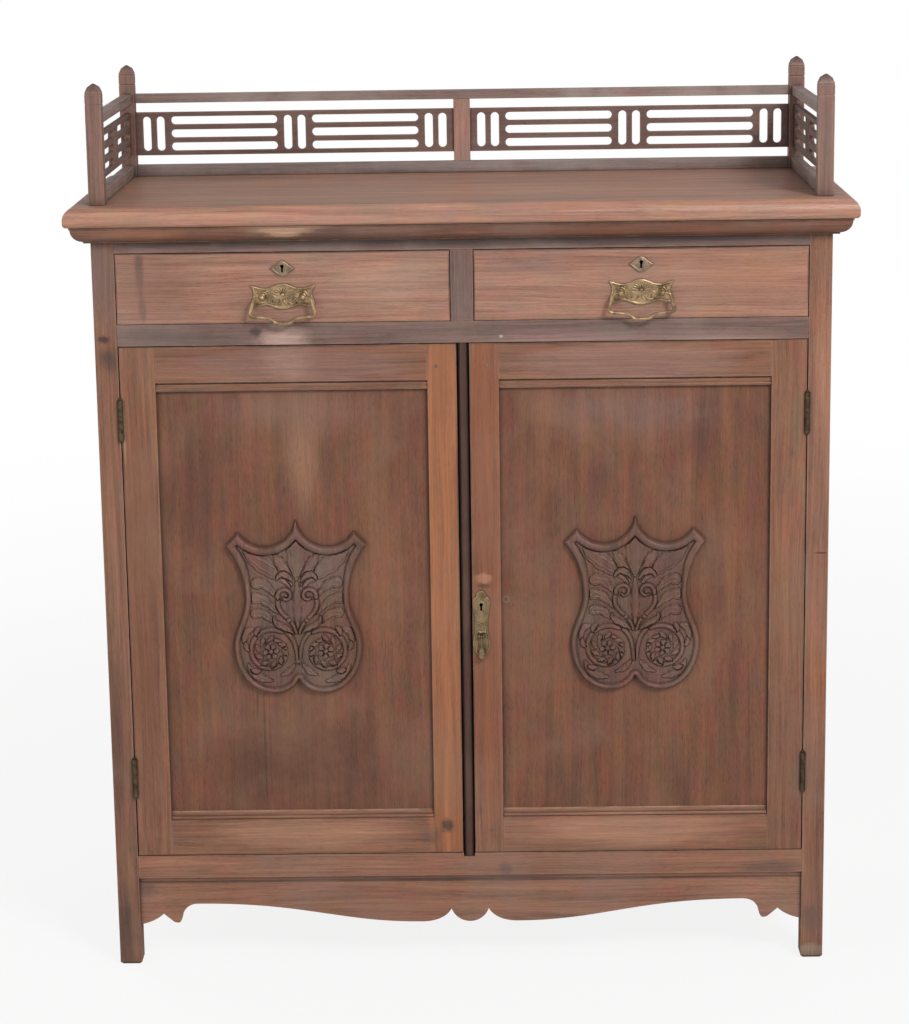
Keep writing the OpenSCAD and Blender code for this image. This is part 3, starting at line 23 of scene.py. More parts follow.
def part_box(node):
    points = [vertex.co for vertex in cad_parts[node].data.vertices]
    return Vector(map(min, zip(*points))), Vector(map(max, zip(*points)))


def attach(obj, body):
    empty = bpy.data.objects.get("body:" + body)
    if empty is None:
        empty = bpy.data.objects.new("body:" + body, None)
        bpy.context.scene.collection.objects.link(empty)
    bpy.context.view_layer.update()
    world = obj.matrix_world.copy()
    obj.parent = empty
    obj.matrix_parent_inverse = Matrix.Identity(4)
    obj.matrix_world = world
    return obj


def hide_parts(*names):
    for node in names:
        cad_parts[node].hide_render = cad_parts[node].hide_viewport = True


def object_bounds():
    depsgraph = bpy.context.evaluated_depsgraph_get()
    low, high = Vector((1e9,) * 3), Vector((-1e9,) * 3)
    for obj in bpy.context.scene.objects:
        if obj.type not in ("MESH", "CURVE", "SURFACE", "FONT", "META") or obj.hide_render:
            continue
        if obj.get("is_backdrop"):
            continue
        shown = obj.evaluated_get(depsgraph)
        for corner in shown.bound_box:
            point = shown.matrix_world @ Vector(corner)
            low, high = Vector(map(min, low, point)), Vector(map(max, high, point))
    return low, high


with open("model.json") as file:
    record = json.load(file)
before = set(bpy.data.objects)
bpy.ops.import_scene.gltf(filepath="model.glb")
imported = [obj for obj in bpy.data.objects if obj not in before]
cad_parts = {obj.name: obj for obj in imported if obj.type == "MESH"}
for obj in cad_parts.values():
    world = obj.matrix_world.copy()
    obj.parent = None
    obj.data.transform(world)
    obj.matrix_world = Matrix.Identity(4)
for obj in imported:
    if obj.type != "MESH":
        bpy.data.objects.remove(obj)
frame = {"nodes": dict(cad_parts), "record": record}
cad_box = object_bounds()
MM = 0.001
SIDES = ("left", "right")
scene = bpy.context.scene


def new_piece(name, data):
    """A new object in the scene."""
    piece = bpy.data.objects.new(name, data)
    scene.collection.objects.link(piece)
    return piece


def box_mm(node):
    """The lowest and the highest corner of a solid, in millimetres."""
    return [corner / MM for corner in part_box(node)]


# %% [markdown]
# ## Where the camera stands
# The viewing angle was worked out from the cabinet's own edges: parallel rails and the two front legs meet
# the picture's frame only for one place, tilt and lens. The camera looks down a little and leans by less
# than one degree. Its columns are the picture's right, its up, and the way back from the subject.

# %% Set the camera
PICTURE_W, PICTURE_H = 909, 1024
LENS_PX = 2850
CAMERA_PLACE = Vector((0.038, -4.403, 1.670))
CAMERA_YAW, CAMERA_PITCH, CAMERA_ROLL = radians(0.73), radians(12.70), radians(-0.83)


def camera_turn(yaw, pitch, roll):
    """Turn of a camera that looks along +Y, after its yaw, its downward pitch and its roll."""
    right = Vector((cos(yaw), sin(yaw), 0))
    ahead = Vector((-sin(yaw) * cos(pitch), cos(yaw) * cos(pitch), -sin(pitch)))
    up = right.cross(ahead)
    leaned_right = cos(roll) * right + sin(roll) * up
    leaned_up = -sin(roll) * right + cos(roll) * up
    return Matrix((leaned_right, leaned_up, -ahead)).transposed()


camera_data = bpy.data.cameras.new("picture_camera")
camera_data.sensor_width = 36
camera_data.lens = LENS_PX * camera_data.sensor_width / max(PICTURE_W, PICTURE_H)
camera = new_piece("picture_camera", camera_data)
turn = camera_turn(CAMERA_YAW, CAMERA_PITCH, CAMERA_ROLL)
camera.matrix_world = Matrix.Translation(CAMERA_PLACE) @ turn.to_4x4()
scene.camera = camera
print("lens", round(camera_data.lens, 1), "mm")

# %% [markdown]
# ## Small helpers for node trees
# A shader or geometry tree is a list of nodes and the wires between them. A formula is easiest to read when
# it looks like a formula, so a wire is a small object here: adding or multiplying two of them puts the
# fitting maths node in the tree and gives its result as a new wire. Three numbers in brackets stand for a
# vector.


# %% Helpers for nodes
class Wire:
    """The output of a node. A sum with it puts a maths node in its tree."""

    def __init__(self, socket):
        self.socket, self.tree = socket, socket.id_data
        self.is_vector = socket.type in ("VECTOR", "RGBA")

    def __add__(self, other):
        return maths("ADD", self, other)

    def __radd__(self, other):
        return maths("ADD", other, self)

    def __sub__(self, other):
        return maths("SUBTRACT", self, other)

    def __rsub__(self, other):
        return maths("SUBTRACT", other, self)

    def __mul__(self, other):
        return maths("MULTIPLY", self, other)

    def __truediv__(self, other):
        return maths("DIVIDE", self, other)

    def __rtruediv__(self, other):
        return maths("DIVIDE", other, self)

    def to(self, socket):
        """Leads the wire to an input."""
        self.tree.links.new(self.socket, socket)


def fill(node, inputs):
    """Sets inputs of a node to numbers, colours or wires."""
    for key, value in dict(inputs).items():
        if isinstance(value, Wire):
            value.to(node.inputs[key])
        else:
            node.inputs[key].default_value = value


def add(tree, kind, inputs=(), **settings):
    """Adds a node to a tree."""
    node = tree.nodes.new(kind)
    for name, value in settings.items():
        setattr(node, name, value)
    fill(node, inputs)
    return node


def wire(tree, kind, inputs=(), output=0, **settings):
    """Adds a node and gives one of its outputs."""
    return Wire(add(tree, kind, inputs, **settings).outputs[output])


def wires(node):
    """All outputs of a node, by name."""
    return {socket.name: Wire(socket) for socket in node.outputs}


def maths(operation, a, b=None, clamp=False):
    """A sum of wires and numbers, done on vectors as soon as one of them is a vector."""
    inputs = {0: a} if b is None else {0: a, 1: b}
    tree = next(value.tree for value in inputs.values() if isinstance(value, Wire))
    if any(isinstance(v, tuple) or isinstance(v, Wire) and v.is_vector for v in inputs.values()):
        output = "Value" if operation in ("LENGTH", "DOT_PRODUCT") else "Vector"
        return wire(tree, "ShaderNodeVectorMath", inputs, output, operation=operation)
    return wire(tree, "ShaderNodeMath", inputs, operation=operation, use_clamp=clamp)


def mixed(factor, a, b):
    """Colour a with colour b laid over it by a factor."""
    return wire(factor.tree, "ShaderNodeMix", {0: factor, 6: a, 7: b}, 2, data_type="RGBA")


def between(value, low, high, out_low=0.0, out_high=1.0):
    """Value carried smoothly from low..high to out_low..out_high."""
    return wire(value.tree, "ShaderNodeMapRange", {0: value, 1: low, 2: high, 3: out_low, 4: out_high},
                interpolation_type="SMOOTHSTEP")


def noise(place, size, detail=3.0, rough=0.55, bend=0.0, output=0):
    """Noise whose lumps are about size long, in the unit of the place."""
    return wire(place.tree, "ShaderNodeTexNoise", {
        "Vector": place, "Scale": 1 / size, "Detail": detail, "Roughness": rough, "Distortion": bend}, output)


def new_group(name, kind, inputs, outputs):
    """A new node group: its tree, the wires that come in and the sockets that lead out."""
    tree = bpy.data.node_groups.new(name, kind)
    for way, sockets in (("INPUT", inputs), ("OUTPUT", outputs)):
        for label, socket_kind in sockets.items():
            tree.interface.new_socket(label, in_out=way, socket_type="NodeSocket" + socket_kind)
    return tree, wires(add(tree, "NodeGroupInput")), add(tree, "NodeGroupOutput").inputs


def use(tree, group, inputs):
    """Places a group in a material with its own values."""
    return wires(add(tree, "ShaderNodeGroup", inputs, node_tree=group))


def new_material(name):
    """A new material, its tree and its shader."""
    material = bpy.data.materials.new(name)
    material.use_nodes = True
    return material, material.node_tree, material.node_tree.nodes["Principled BSDF"]


def paint(red, green, blue):
    """A colour as a paint card gives it, 0 to 255, turned to the linear values that shaders use."""
    share = [c / 255 for c in (red, green, blue)]
    return (*[c / 12.92 if c <= 0.04045 else ((c + 0.055) / 1.055) ** 2.4 for c in share], 1.0)


print("helpers for nodes are ready")

# %% [markdown]
# ## The grain
# Old tropical wood shows three things at once: broad bands where the saw crossed the year rings, narrow
# streaks along the board, and short open pores that catch dirt. All three are stretched noise. A last, soft
# noise turns the colour a little to red in some places and to olive in others, as old wood does where its
# oils have dried unevenly. Each vertex of a board carries its place in the board's own frame, with the
# grain along Z, so the same group serves a leg, a rail and a mitred moulding, and each board has its own
# piece of the pattern.

# %% Group: grain
BAND_SIZE, STREAK_SIZE, FIBRE_SIZE, PORE_SIZE, HUE_SIZE, WANDER_SIZE = 16.0, 2.6, 0.7, 0.55, 26, 45
HALF = (0.5, 0.5, 0.5)
grain_group, given, made = new_group(
    "grain", "ShaderNodeTree",
    {"Plank": "Vector", "Pale": "Color", "Dark": "Color", "Bands": "Float", "Streaks": "Float",
     "Pores": "Float", "Band Size": "Float", "Mottle": "Float"},
    {"Color": "Color", "Height": "Float", "Tone": "Float"})
in_mm = given["Plank"] * (1000, 1000, 1000)
wander = noise(in_mm * (1, 1, 0.15), WANDER_SIZE, 1, output=1) - HALF
wavy = in_mm + wander * (16, 16, 0)
band_stretch = wire(grain_group, "ShaderNodeCombineXYZ", {0: BAND_SIZE / given["Band Size"], 1: 1.0, 2: 1.0})
band = noise(wavy * (1, 1, 0.035) * band_stretch, BAND_SIZE, 3, 0.5, 0.4)
streak = noise(wavy * (1, 1, 0.012), STREAK_SIZE, 4, 0.6)
fibre = noise(wavy * (1, 1, 0.012), FIBRE_SIZE, 2, 0.5)
open_pore = between(noise(wavy * (1, 1, 0.05), PORE_SIZE, 1, 0.5), 0.58, 0.68) * given["Pores"]
lines = (streak - 0.5 + (fibre - 0.5) * 0.5) * given["Streaks"]
tone = maths("SUBTRACT", 0.5 + ((band - 0.5) * given["Bands"] + lines), open_pore * 0.45, clamp=True)
hue = (noise(wavy * (1, 1, 0.45), HUE_SIZE, 4, 0.55, output=1) - HALF) * (0.95, 0.62, 0.75) * given["Mottle"]
(mixed(tone, given["Dark"], given["Pale"]) * (hue + (1, 1, 1))).to(made["Color"])
(fibre * 0.35 - open_pore).to(made["Height"])
tone.to(made["Tone"])
print("group", grain_group.name, "has", len(grain_group.nodes), "nodes")

# %% [markdown]
# ## Age and painted shade
# Hands and dusters rub the varnish off the edges, and wax and dust stay in the corners. The Bevel node
# gives the normal that a rounder edge would have: where it differs from the true one, there is an edge.
# Ambient occlusion finds the corners: once over three centimetres or less, for soft dirt and painted shade,
# and once over four millimetres, for black lines of dirt and painted shade in joints and quirks. Broad
# blotches stand for sun, damp and old polish.

# %% Group: age and painted shade
EDGE_REACH, CRACK_REACH = 0.0035, 0.004
age_and_shade_group, given, made = new_group(
    "age", "ShaderNodeTree",
    {"Color": "Color", "Place": "Vector", "Rubbed": "Color", "Grime": "Color", "Faded": "Color",
     "Rub": "Float", "Dirt": "Float", "Fade": "Float", "Reach": "Float"},
    {"Color": "Color", "Dirt": "Float"})
rounded = wire(age_and_shade_group, "ShaderNodeBevel", {"Radius": EDGE_REACH}, samples=4)
facing = wire(age_and_shade_group, "ShaderNodeNewGeometry", output="Normal")
patchy = between(noise(given["Place"], 0.035, 4, 0.65), 0.38, 0.62, 0.25, 1.0)
edge = between(1.0 - maths("DOT_PRODUCT", rounded, facing), 0.015, 0.2) * patchy * given["Rub"]
# ambient occlusion darkens corners, joints and quirks towards the grime colour: dirt and painted shade
open_air = wire(age_and_shade_group, "ShaderNodeAmbientOcclusion", {"Distance": given["Reach"]}, "AO", samples=6)
close_air = wire(age_and_shade_group, "ShaderNodeAmbientOcclusion", {"Distance": CRACK_REACH}, "AO", samples=6)
smear = between(noise(given["Place"], 0.06, 4, 0.7), 0.35, 0.65, 0.55, 1.0)
corner = maths("MULTIPLY", between(open_air, 0.85, 0.35) * smear, given["Dirt"], clamp=True)
crack = maths("MULTIPLY", between(close_air, 0.9, 0.42), given["Dirt"], clamp=True)
dirt_and_shade = maths("MAXIMUM", corner, crack)
blotch = between(noise(given["Place"], 0.16, 5, 0.6, 0.5), 0.42, 0.68)
faded = mixed(blotch * given["Fade"], given["Color"], given["Faded"])
mixed(dirt_and_shade, mixed(edge, faded, given["Rubbed"]), given["Grime"]).to(made["Color"])
dirt_and_shade.to(made["Dirt"])
print("group", age_and_shade_group.name, "has", len(age_and_shade_group.nodes), "nodes")

# %% [markdown]
# ## Marks at one place
# A knot, a stain or a bleached patch is a soft ellipsoid about one point of the cabinet. Noise bends its
# border, so that it never reads as a drawn circle.

# %% Group: mark
mark_group, given, made = new_group(
    "mark", "ShaderNodeTree", {"Place": "Vector", "Centre": "Vector", "Reach": "Vector", "Hardness": "Float"},
    {"Mask": "Float"})
away = (given["Place"] - given["Centre"]) / given["Reach"]
ragged = maths("LENGTH", away) + (noise(away, 0.6, 4, 0.6) - 0.5) * 0.9
between(ragged, 1.0, given["Hardness"]).to(made["Mask"])
print("group", mark_group.name, "has", len(mark_group.nodes), "nodes")

# %% [markdown]
# ## The woods
# One recipe makes all the woods; each has its own colours, wear and marks. The frame is darker and greyer
# than the drawer fronts, the doors' meeting stiles are rubbed to orange, and the inside was never
# varnished. The finish is an old wax over thin varnish: satin, a little glossier where hands polish it and
# dull in the dirt.


# %% Recipe for a wood
GRAIN_DEPTH = 0.0004


def wood(name, pale, dark, streaks=1.2, pores=0.5, band_size=BAND_SIZE, mottle=0.5, rubbed=(190, 150, 120),
         grime_and_shade=(45, 34, 30), faded=(150, 130, 120), rub=0.6, dirt_and_shade=0.8, fade=0.25, reach=0.030, gloss=0.5,
         coat=0.12, marks=()):
    """A wood material. A mark is (colour, strength, centre, reach, hardness)."""
    material, tree, shader = new_material("old_" + name)
    place = wire(tree, "ShaderNodeTexCoord", output="Object")
    plank = wire(tree, "ShaderNodeAttribute", output="Vector", attribute_name="plank")
    figure = use(tree, grain_group, {
        "Plank": plank, "Pale": paint(*pale), "Dark": paint(*dark), "Bands": 1.0, "Streaks": streaks,
        "Pores": pores, "Band Size": band_size, "Mottle": mottle})
    colour, tone = figure["Color"], figure["Tone"]
    texture = between(tone, 0.0, 1.0, 0.72, 1.22)
    for mark_colour, strength, centre, size, hardness in marks:
        mask = use(tree, mark_group, {"Place": place, "Centre": centre, "Reach": size, "Hardness": hardness})
        colour = mixed(mask["Mask"] * strength, colour, texture * paint(*mark_colour)[:3])
    # the age group darkens the corners and joints of the wood: dirt and painted shade
    aged = use(tree, age_and_shade_group, {
        "Color": colour, "Place": place, "Rubbed": paint(*rubbed), "Grime": paint(*grime_and_shade),
        "Faded": paint(*faded), "Rub": rub, "Dirt": dirt_and_shade, "Fade": fade, "Reach": reach})
    raised = wire(tree, "ShaderNodeBump", {
        "Height": figure["Height"], "Distance": GRAIN_DEPTH, "Strength": 0.6})
    fill(shader, {"Base Color": aged["Color"], "Roughness": gloss + aged["Dirt"] * 0.25 + (0.5 - tone) * 0.15,
                  "Coat Weight": coat, "Coat Roughness": 0.35, "Normal": raised})
    return material


print("groups of a wood:", [group.name for group in (grain_group, mark_group, age_and_shade_group)])

# %% [markdown]
# The marks were found one by one in the picture: a knot in the left leg with a dark stain under it,
# bleached patches on the mid rail where something wet once stood, a painted highlight on the moulding, a
# streak down the left drawer, a crack along the left panel, a plug in the right panel, the pegs of the
# meeting stiles, and feet scuffed by mops. The dark lines along the edges of the fronts, across the top
# rail and along the moulding under the top are dirt and painted shade.

# %% Marks of use
FRONT_Y, PANEL_Y, MOULDING_Y = -197, -189, -215
# The first colour is for thin dark lines of dirt and painted shade along edges and joints.
# The second colour is a painted highlight: pale glare on the moulding under the top.
EDGE_DIRT_AND_SHADE, PAINTED_HIGHLIGHT = (58, 36, 30), (200, 158, 126)


def marks(*rows, y=FRONT_Y, reach_y=60):
    """Marks, each a row (colour, strength, x, z, reach_x, reach_z, hardness) in millimetres."""
    return [(colour, strength, (x * MM, y * MM, z * MM), (reach_x * MM, reach_y * MM, reach_z * MM), hardness)
            for colour, strength, x, z, reach_x, reach_z, hardness in rows]


def dirty_and_shaded_edges(node, top, bottom, sides):
    """Lines of dirt and painted shade along the four edges of a front, each with its own strength."""
    low, high = box_mm(node)
    middle, half = (low + high) / 2, (high - low) / 2
    return marks((EDGE_DIRT_AND_SHADE, top, middle.x, high.z, 1.5 * half.x, 3.0, 0.5),
                 (EDGE_DIRT_AND_SHADE, bottom, middle.x, low.z, 1.5 * half.x, 3.0, 0.5),
                 (EDGE_DIRT_AND_SHADE, sides, low.x, middle.z, 2.6, 1.5 * half.z, 0.5),
                 (EDGE_DIRT_AND_SHADE, sides, high.x, middle.z, 2.6, 1.5 * half.z, 0.5))


LEG_MARKS = marks(
    ((58, 42, 36), 0.85, -536, 992, 13, 8, 0.3), ((72, 56, 50), 0.75, -530, 962, 22, 28, 0.1),
    ((114, 90, 82), 0.75, -536, 1090, 34, 100, 0.2), ((164, 110, 80), 0.5, -545, 740, 26, 130, 0.1),
    ((100, 66, 52), 0.65, -545, 360, 30, 220, 0.1), ((84, 58, 46), 0.8, -545, 60, 34, 120, 0.1),
    ((34, 24, 20), 0.9, 539, 652, 12, 1.6, 0.6), ((158, 138, 118), 0.7, 534, 12, 30, 15, 0.5),
    ((86, 66, 60), 0.6, 530, 66, 26, 34, 0.2), ((80, 60, 50), 0.6, -560, 20, 26, 50, 0.2),
    ((190, 134, 104), 0.55, 545, 900, 26, 230, 0.1), ((168, 104, 68), 0.6, 540, 480, 28, 230, 0.1))
FRAME_MARKS = marks(
    ((84, 65, 59), 0.75, -430, 995, 120, 22, 0.2), ((200, 166, 152), 0.75, -266, 986, 52, 32, 0.2),
    ((54, 44, 42), 0.7, -308, 1001, 13, 9, 0.4), ((170, 134, 124), 0.6, 150, 980, 200, 24, 0.2),
    ((200, 196, 190), 0.8, 57.6, 990, 3.5, 2.5, 0.5), ((164, 130, 118), 0.65, 400, 980, 130, 24, 0.2),
    # the first mark on the next line, a dark band across the whole top rail, is dirt and painted shade under
    # the top's overhang
    ((74, 58, 55), 0.75, 0, 1133, 900, 11, 0.3), ((112, 72, 62), 0.5, -505, 1128, 22, 12, 0.2))
RAIL_MARKS = marks(
    ((92, 72, 66), 0.65, 470, 150, 74, 20, 0.2), ((100, 76, 66), 0.6, -512, 120, 36, 26, 0.2),
    ((178, 120, 94), 0.45, -470, 160, 70, 18, 0.2), ((82, 60, 52), 0.6, 56, 152, 16, 15, 0.3),
    # the last mark on the next line is a thin dark line of dirt and painted shade in the joint under the
    # doors
    ((180, 124, 94), 0.4, 420, 110, 90, 22, 0.1), (EDGE_DIRT_AND_SHADE, 0.8, 0, 133.5, 900, 3.4, 0.5))
DOOR_MARKS = marks(
    ((168, 105, 66), 0.8, -32, 580, 40, 520, 0.85), ((142, 84, 56), 0.75, 32, 640, 34, 460, 0.8),
    ((124, 78, 54), 0.8, -494, 580, 32, 470, 0.3), ((66, 44, 36), 0.85, -33, 224, 14, 15, 0.3),
    ((108, 78, 66), 0.6, -60, 208, 24, 22, 0.3), ((150, 111, 100), 0.6, -250, 948, 205, 34, 0.6),
    ((156, 117, 106), 0.6, 250, 948, 205, 34, 0.6), ((182, 144, 130), 0.5, -262, 954, 56, 40, 0.1),
    ((108, 98, 68), 0.5, 500, 850, 11, 80, 0.2), ((100, 90, 62), 0.4, 504, 300, 9, 60, 0.2),
    ((170, 148, 126), 0.55, -511, 850, 2.5, 60, 0.4), ((188, 137, 107), 0.55, -250, 214, 200, 34, 0.4),
    ((184, 134, 107), 0.6, 255, 214, 205, 36, 0.4), ((190, 132, 100), 0.75, 27, 618, 17, 10, 0.5),
    ((58, 40, 34), 0.6, 27, 606, 15, 5, 0.3), ((84, 56, 44), 0.4, 16, 640, 8, 40, 0.2))
PANEL_MARKS = marks(
    ((48, 30, 25), 0.9, -313, 352, 2.4, 100, 0.5), ((56, 34, 29), 0.85, -305, 350, 2.2, 94, 0.4),
    ((60, 40, 34), 0.75, -323, 424, 2.4, 26, 0.4), ((168, 128, 100), 0.5, -246, 800, 38, 110, 0.1),
    ((88, 56, 46), 0.55, -214, 326, 24, 20, 0.2), ((90, 60, 52), 0.5, 356, 826, 32, 62, 0.1),
    ((88, 59, 52), 0.4, 205, 766, 34, 52, 0.1), ((140, 118, 104), 0.7, 61, 583, 6.5, 6.5, 0.6),
    ((58, 42, 38), 0.8, 61, 583, 3.6, 3.6, 0.5), ((142, 108, 96), 0.5, -250, 878, 190, 50, 0.1),
    ((136, 108, 100), 0.5, 250, 872, 190, 60, 0.1), ((96, 58, 40), 0.7, -250, 320, 220, 120, 0.1),
    ((98, 62, 48), 0.4, -400, 740, 60, 170, 0.1), ((150, 104, 74), 0.35, -120, 640, 50, 260, 0.1),
    ((148, 98, 70), 0.3, 300, 420, 120, 120, 0.1), y=PANEL_Y)
DRAWER_MARKS = marks(
    ((100, 70, 62), 0.8, -479, 1090, 9, 62, 0.3), ((104, 74, 66), 0.7, -476, 1036, 9, 28, 0.3),
    ((208, 166, 140), 0.35, -110, 1075, 120, 46, 0.1), ((142, 112, 106), 0.5, 92, 1094, 84, 20, 0.2),
    ((166, 114, 87), 0.7, 430, 1072, 130, 70, 0.1), ((140, 95, 74), 0.65, -450, 1060, 90, 70, 0.1))
# dark lines of dirt and painted shade round each door and drawer front, strongest along the top, under the
# frame
for side in SIDES:
    DOOR_MARKS += dirty_and_shaded_edges(side + "_door_stiles", 0.8, 0.6, 0.65)
    DRAWER_MARKS += dirty_and_shaded_edges(side + "_drawer_front", 0.9, 0.35, 0.75)
# a pale V of painted highlight on the moulding under the top's nosing
MOULDING_MARKS = marks(
    (PAINTED_HIGHLIGHT, 0.8, -256, 1167, 124, 6, 0.4), (PAINTED_HIGHLIGHT, 0.8, -256, 1161, 92, 6, 0.4),
    (PAINTED_HIGHLIGHT, 0.8, -258, 1155, 60, 6, 0.4), (PAINTED_HIGHLIGHT, 0.8, -260, 1149, 32, 6, 0.4), y=MOULDING_Y)
MOULDING_MARKS += marks(
    ((66, 46, 40), 0.6, -190, 1152, 60, 14, 0.2), ((172, 114, 84), 0.5, -480, 1155, 110, 20, 0.2))
# a thin dark line along the moulding's top, under the top board's nosing: painted shade, with dirt
MOULDING_MARKS += marks(((54, 34, 28), 0.8, 0, 1165.5, 1200, 2.2, 0.4), y=-220, reach_y=600)
TOP_MARKS = marks(((204, 152, 122), 0.5, 120, 1185, 380, 40, 0.1), y=-60, reach_y=120)
TOP_MARKS += marks(((150, 116, 104), 0.5, -380, 1185, 200, 40, 0.1), y=150, reach_y=90)
RAIL_DUST = marks(((150, 138, 136), 0.5, 0, 1206, 900, 14, 0.3), y=214, reach_y=40)
GALLERY_MARKS = marks(
    ((62, 50, 46), 0.8, 0, 1372, 900, 20, 0.5), ((74, 60, 56), 0.75, 0, 1184, 900, 16, 0.3), y=0, reach_y=900)
GALLERY_MARKS += RAIL_DUST
print("marks on doors and drawers:", len(DOOR_MARKS + PANEL_MARKS + DRAWER_MARKS))

# %% [markdown]
# Each wood is a pair of colours, between which the grain moves. They are written as a paint card gives
# them. The drawers and the top were bleached by light, and the top is painted paler still where light falls
# on its upward face. The panels kept their colour, and the carving holds the most dirt and painted shade.

# %% Mix the woods
leg_wood = wood("leg_wood", (166, 114, 87), (90, 57, 44), faded=(148, 120, 104), marks=LEG_MARKS)
frame_wood = wood("frame_wood", (148, 115, 105), (80, 59, 53), fade=0.35, marks=FRAME_MARKS)
rail_wood = wood("rail_wood", (178, 123, 94), (101, 66, 52), marks=RAIL_MARKS)
# the top is paler than the other woods: bleaching, and painted light on its upward face
top_wood = wood("top_wood", (214, 158, 130), (132, 91, 75), gloss=0.4, coat=0.2, rubbed=(200, 148, 118),
                marks=TOP_MARKS)
moulding_wood = wood("moulding_wood", (149, 96, 72), (77, 49, 38), marks=MOULDING_MARKS)
gallery_wood = wood("gallery_wood", (166, 124, 108), (92, 67, 60), gloss=0.42, marks=GALLERY_MARKS)
fret_wood = wood("fret_wood", (142, 107, 96), (78, 58, 53), streaks=0.8)
gallery_post_wood = wood("gallery_post_wood", (204, 158, 138), (120, 88, 77), gloss=0.42, marks=GALLERY_MARKS)
gallery_rail_wood = wood("gallery_rail_wood", (176, 146, 136), (104, 84, 78), fade=0.6, faded=(176, 164, 158),
                         marks=RAIL_DUST)
door_frame_wood = wood("door_frame_wood", (166, 112, 83), (92, 58, 43), faded=(150, 116, 94),
                       marks=DOOR_MARKS)
panel_wood = wood("panel_wood", (147, 93, 64), (81, 46, 33), streaks=0.65, pores=0.7, band_size=22.0,
                  mottle=0.9, faded=(146, 108, 84), fade=0.35, marks=PANEL_MARKS)
# the carving darkens strongly in its hollows over a short reach: dirt and painted shade
carved_wood = wood("carved_wood", (134, 92, 75), (74, 50, 40), dirt_and_shade=0.82, reach=0.010, rub=0.75, mottle=1.0,
                   rubbed=(160, 124, 106), grime_and_shade=(50, 37, 32))
drawer_front_wood = wood("drawer_front_wood", (194, 144, 120), (121, 80, 64), marks=DRAWER_MARKS)
inside_wood = wood("inside_wood", (184, 146, 110), (128, 96, 70), rub=0.3, dirt_and_shade=0.5, gloss=0.7, coat=0.0)
# the centre muntin is painted very dark: dirt, and painted shade between the doors
muntin_wood = wood("muntin_wood", (94, 58, 46), (45, 28, 23), fade=0.4, faded=(108, 78, 64))
peg_wood = wood("peg_wood", (84, 60, 50), (40, 29, 25), gloss=0.6)
print("woods:", [m.name for m in bpy.data.materials if m.name.endswith("wood")])

# %% [markdown]
# ## The brass
# Cast and stamped brass that nobody polishes turns brown-green, stays dark in its hollows and bright where
# fingers touch it. Inside the cabinet the locks and hinges are duller still.


# %% Recipe for a brass
def brass(name, bright, tarnish, dirt_colour, rough, polish=0.8):
    """A brass material: bright where it is touched, under a film of tarnish, with dirt in its hollows."""
    material, tree, shader = new_material("old_" + name)
    place = wire(tree, "ShaderNodeTexCoord", output="Object")
    film = mixed(between(noise(place, 0.012, 5, 0.65), 0.35, 0.65), paint(*bright), paint(*tarnish))
    aged = use(tree, age_and_shade_group, {
        "Color": film, "Place": place, "Rubbed": paint(*bright), "Grime": paint(*dirt_colour),
        "Faded": paint(*tarnish), "Rub": polish, "Dirt": 0.9, "Fade": 0.3, "Reach": 0.006})
    fine = noise(place, 0.0012, 3, 0.6)
    pitted = wire(tree, "ShaderNodeBump", {"Height": fine, "Distance": 0.0001, "Strength": 0.4})
    fill(shader, {"Base Color": aged["Color"], "Metallic": 0.75 - aged["Dirt"] * 0.5, "Normal": pitted,
                  "Roughness": between(fine, 0.3, 0.7, rough - 0.08, rough + 0.12)})
    return material


handle_brass = brass("handle_brass", (206, 174, 134), (130, 110, 80), (62, 49, 37), 0.42)
plate_brass = brass("plate_brass", (178, 153, 115), (108, 92, 68), (54, 44, 33), 0.45)
scutcheon_brass = brass("scutcheon_brass", (184, 158, 130), (113, 99, 83), (54, 46, 39), 0.5, polish=0.6)
dull_brass = brass("dull_brass", (112, 94, 70), (66, 54, 42), (36, 29, 24), 0.55, polish=0.4)
print("metals:", [m.name for m in bpy.data.materials if m.name.endswith("brass")])

# %% [markdown]
# ## From loose triangles to boards
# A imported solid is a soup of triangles. In a copy of it the doubled corners are merged and flat faces are
# joined again, so that only the true edges of the board are left for rounding. Blender's bmesh does such
# work: a mesh is opened as one, changed, and written back.

# %% Helpers for faces
MERGE_DISTANCE, FLAT_ANGLE = 0.005 * MM, radians(0.6)
SHARP = radians(32)


@contextmanager
def editing(mesh):
    """Opens a mesh as a bmesh and writes it back at the end."""
    form = bmesh.new()
    form.from_mesh(mesh)
    yield form
    form.to_mesh(mesh)
    form.free()


def shade(form, sharp):
    """Shades all faces smooth, up to the edges that are sharper than an angle."""
    for face in form.faces:
        face.smooth = True
    for edge in form.edges:
        edge.smooth = edge.is_manifold and edge.calc_face_angle(0) < sharp


def merged(mesh):
    """Joins a solid's loose triangles and its flat faces, in place."""
    with editing(mesh) as form:
        bmesh.ops.remove_doubles(form, verts=form.verts, dist=MERGE_DISTANCE)
        bmesh.ops.dissolve_limit(form, angle_limit=FLAT_ANGLE, verts=form.verts, edges=form.edges)
        shade(form, SHARP)
    return mesh


print("edges above", round(SHARP, 2), "radians stay sharp")

# %% [markdown]
# Every separate board in a mesh gets its own coordinates: Z along its longest side, which is where the
# grain runs, and an offset of its own, so that no two boards show the same figure.


# %% Helpers for grain
def islands(mesh):
    """Number of the separate piece that each vertex belongs to."""
    piece = np.arange(len(mesh.vertices))
    ends = np.empty(len(mesh.edges) * 2, np.int32)
    mesh.edges.foreach_get("vertices", ends)
    a, b = ends.reshape(-1, 2).T
    while True:
        least = np.minimum(piece[a], piece[b])
        before = piece.copy()
        np.minimum.at(piece, a, least)
        np.minimum.at(piece, b, least)
        piece = piece[piece]
        if np.array_equal(piece, before):
            return np.unique(piece, return_inverse=True)[1]


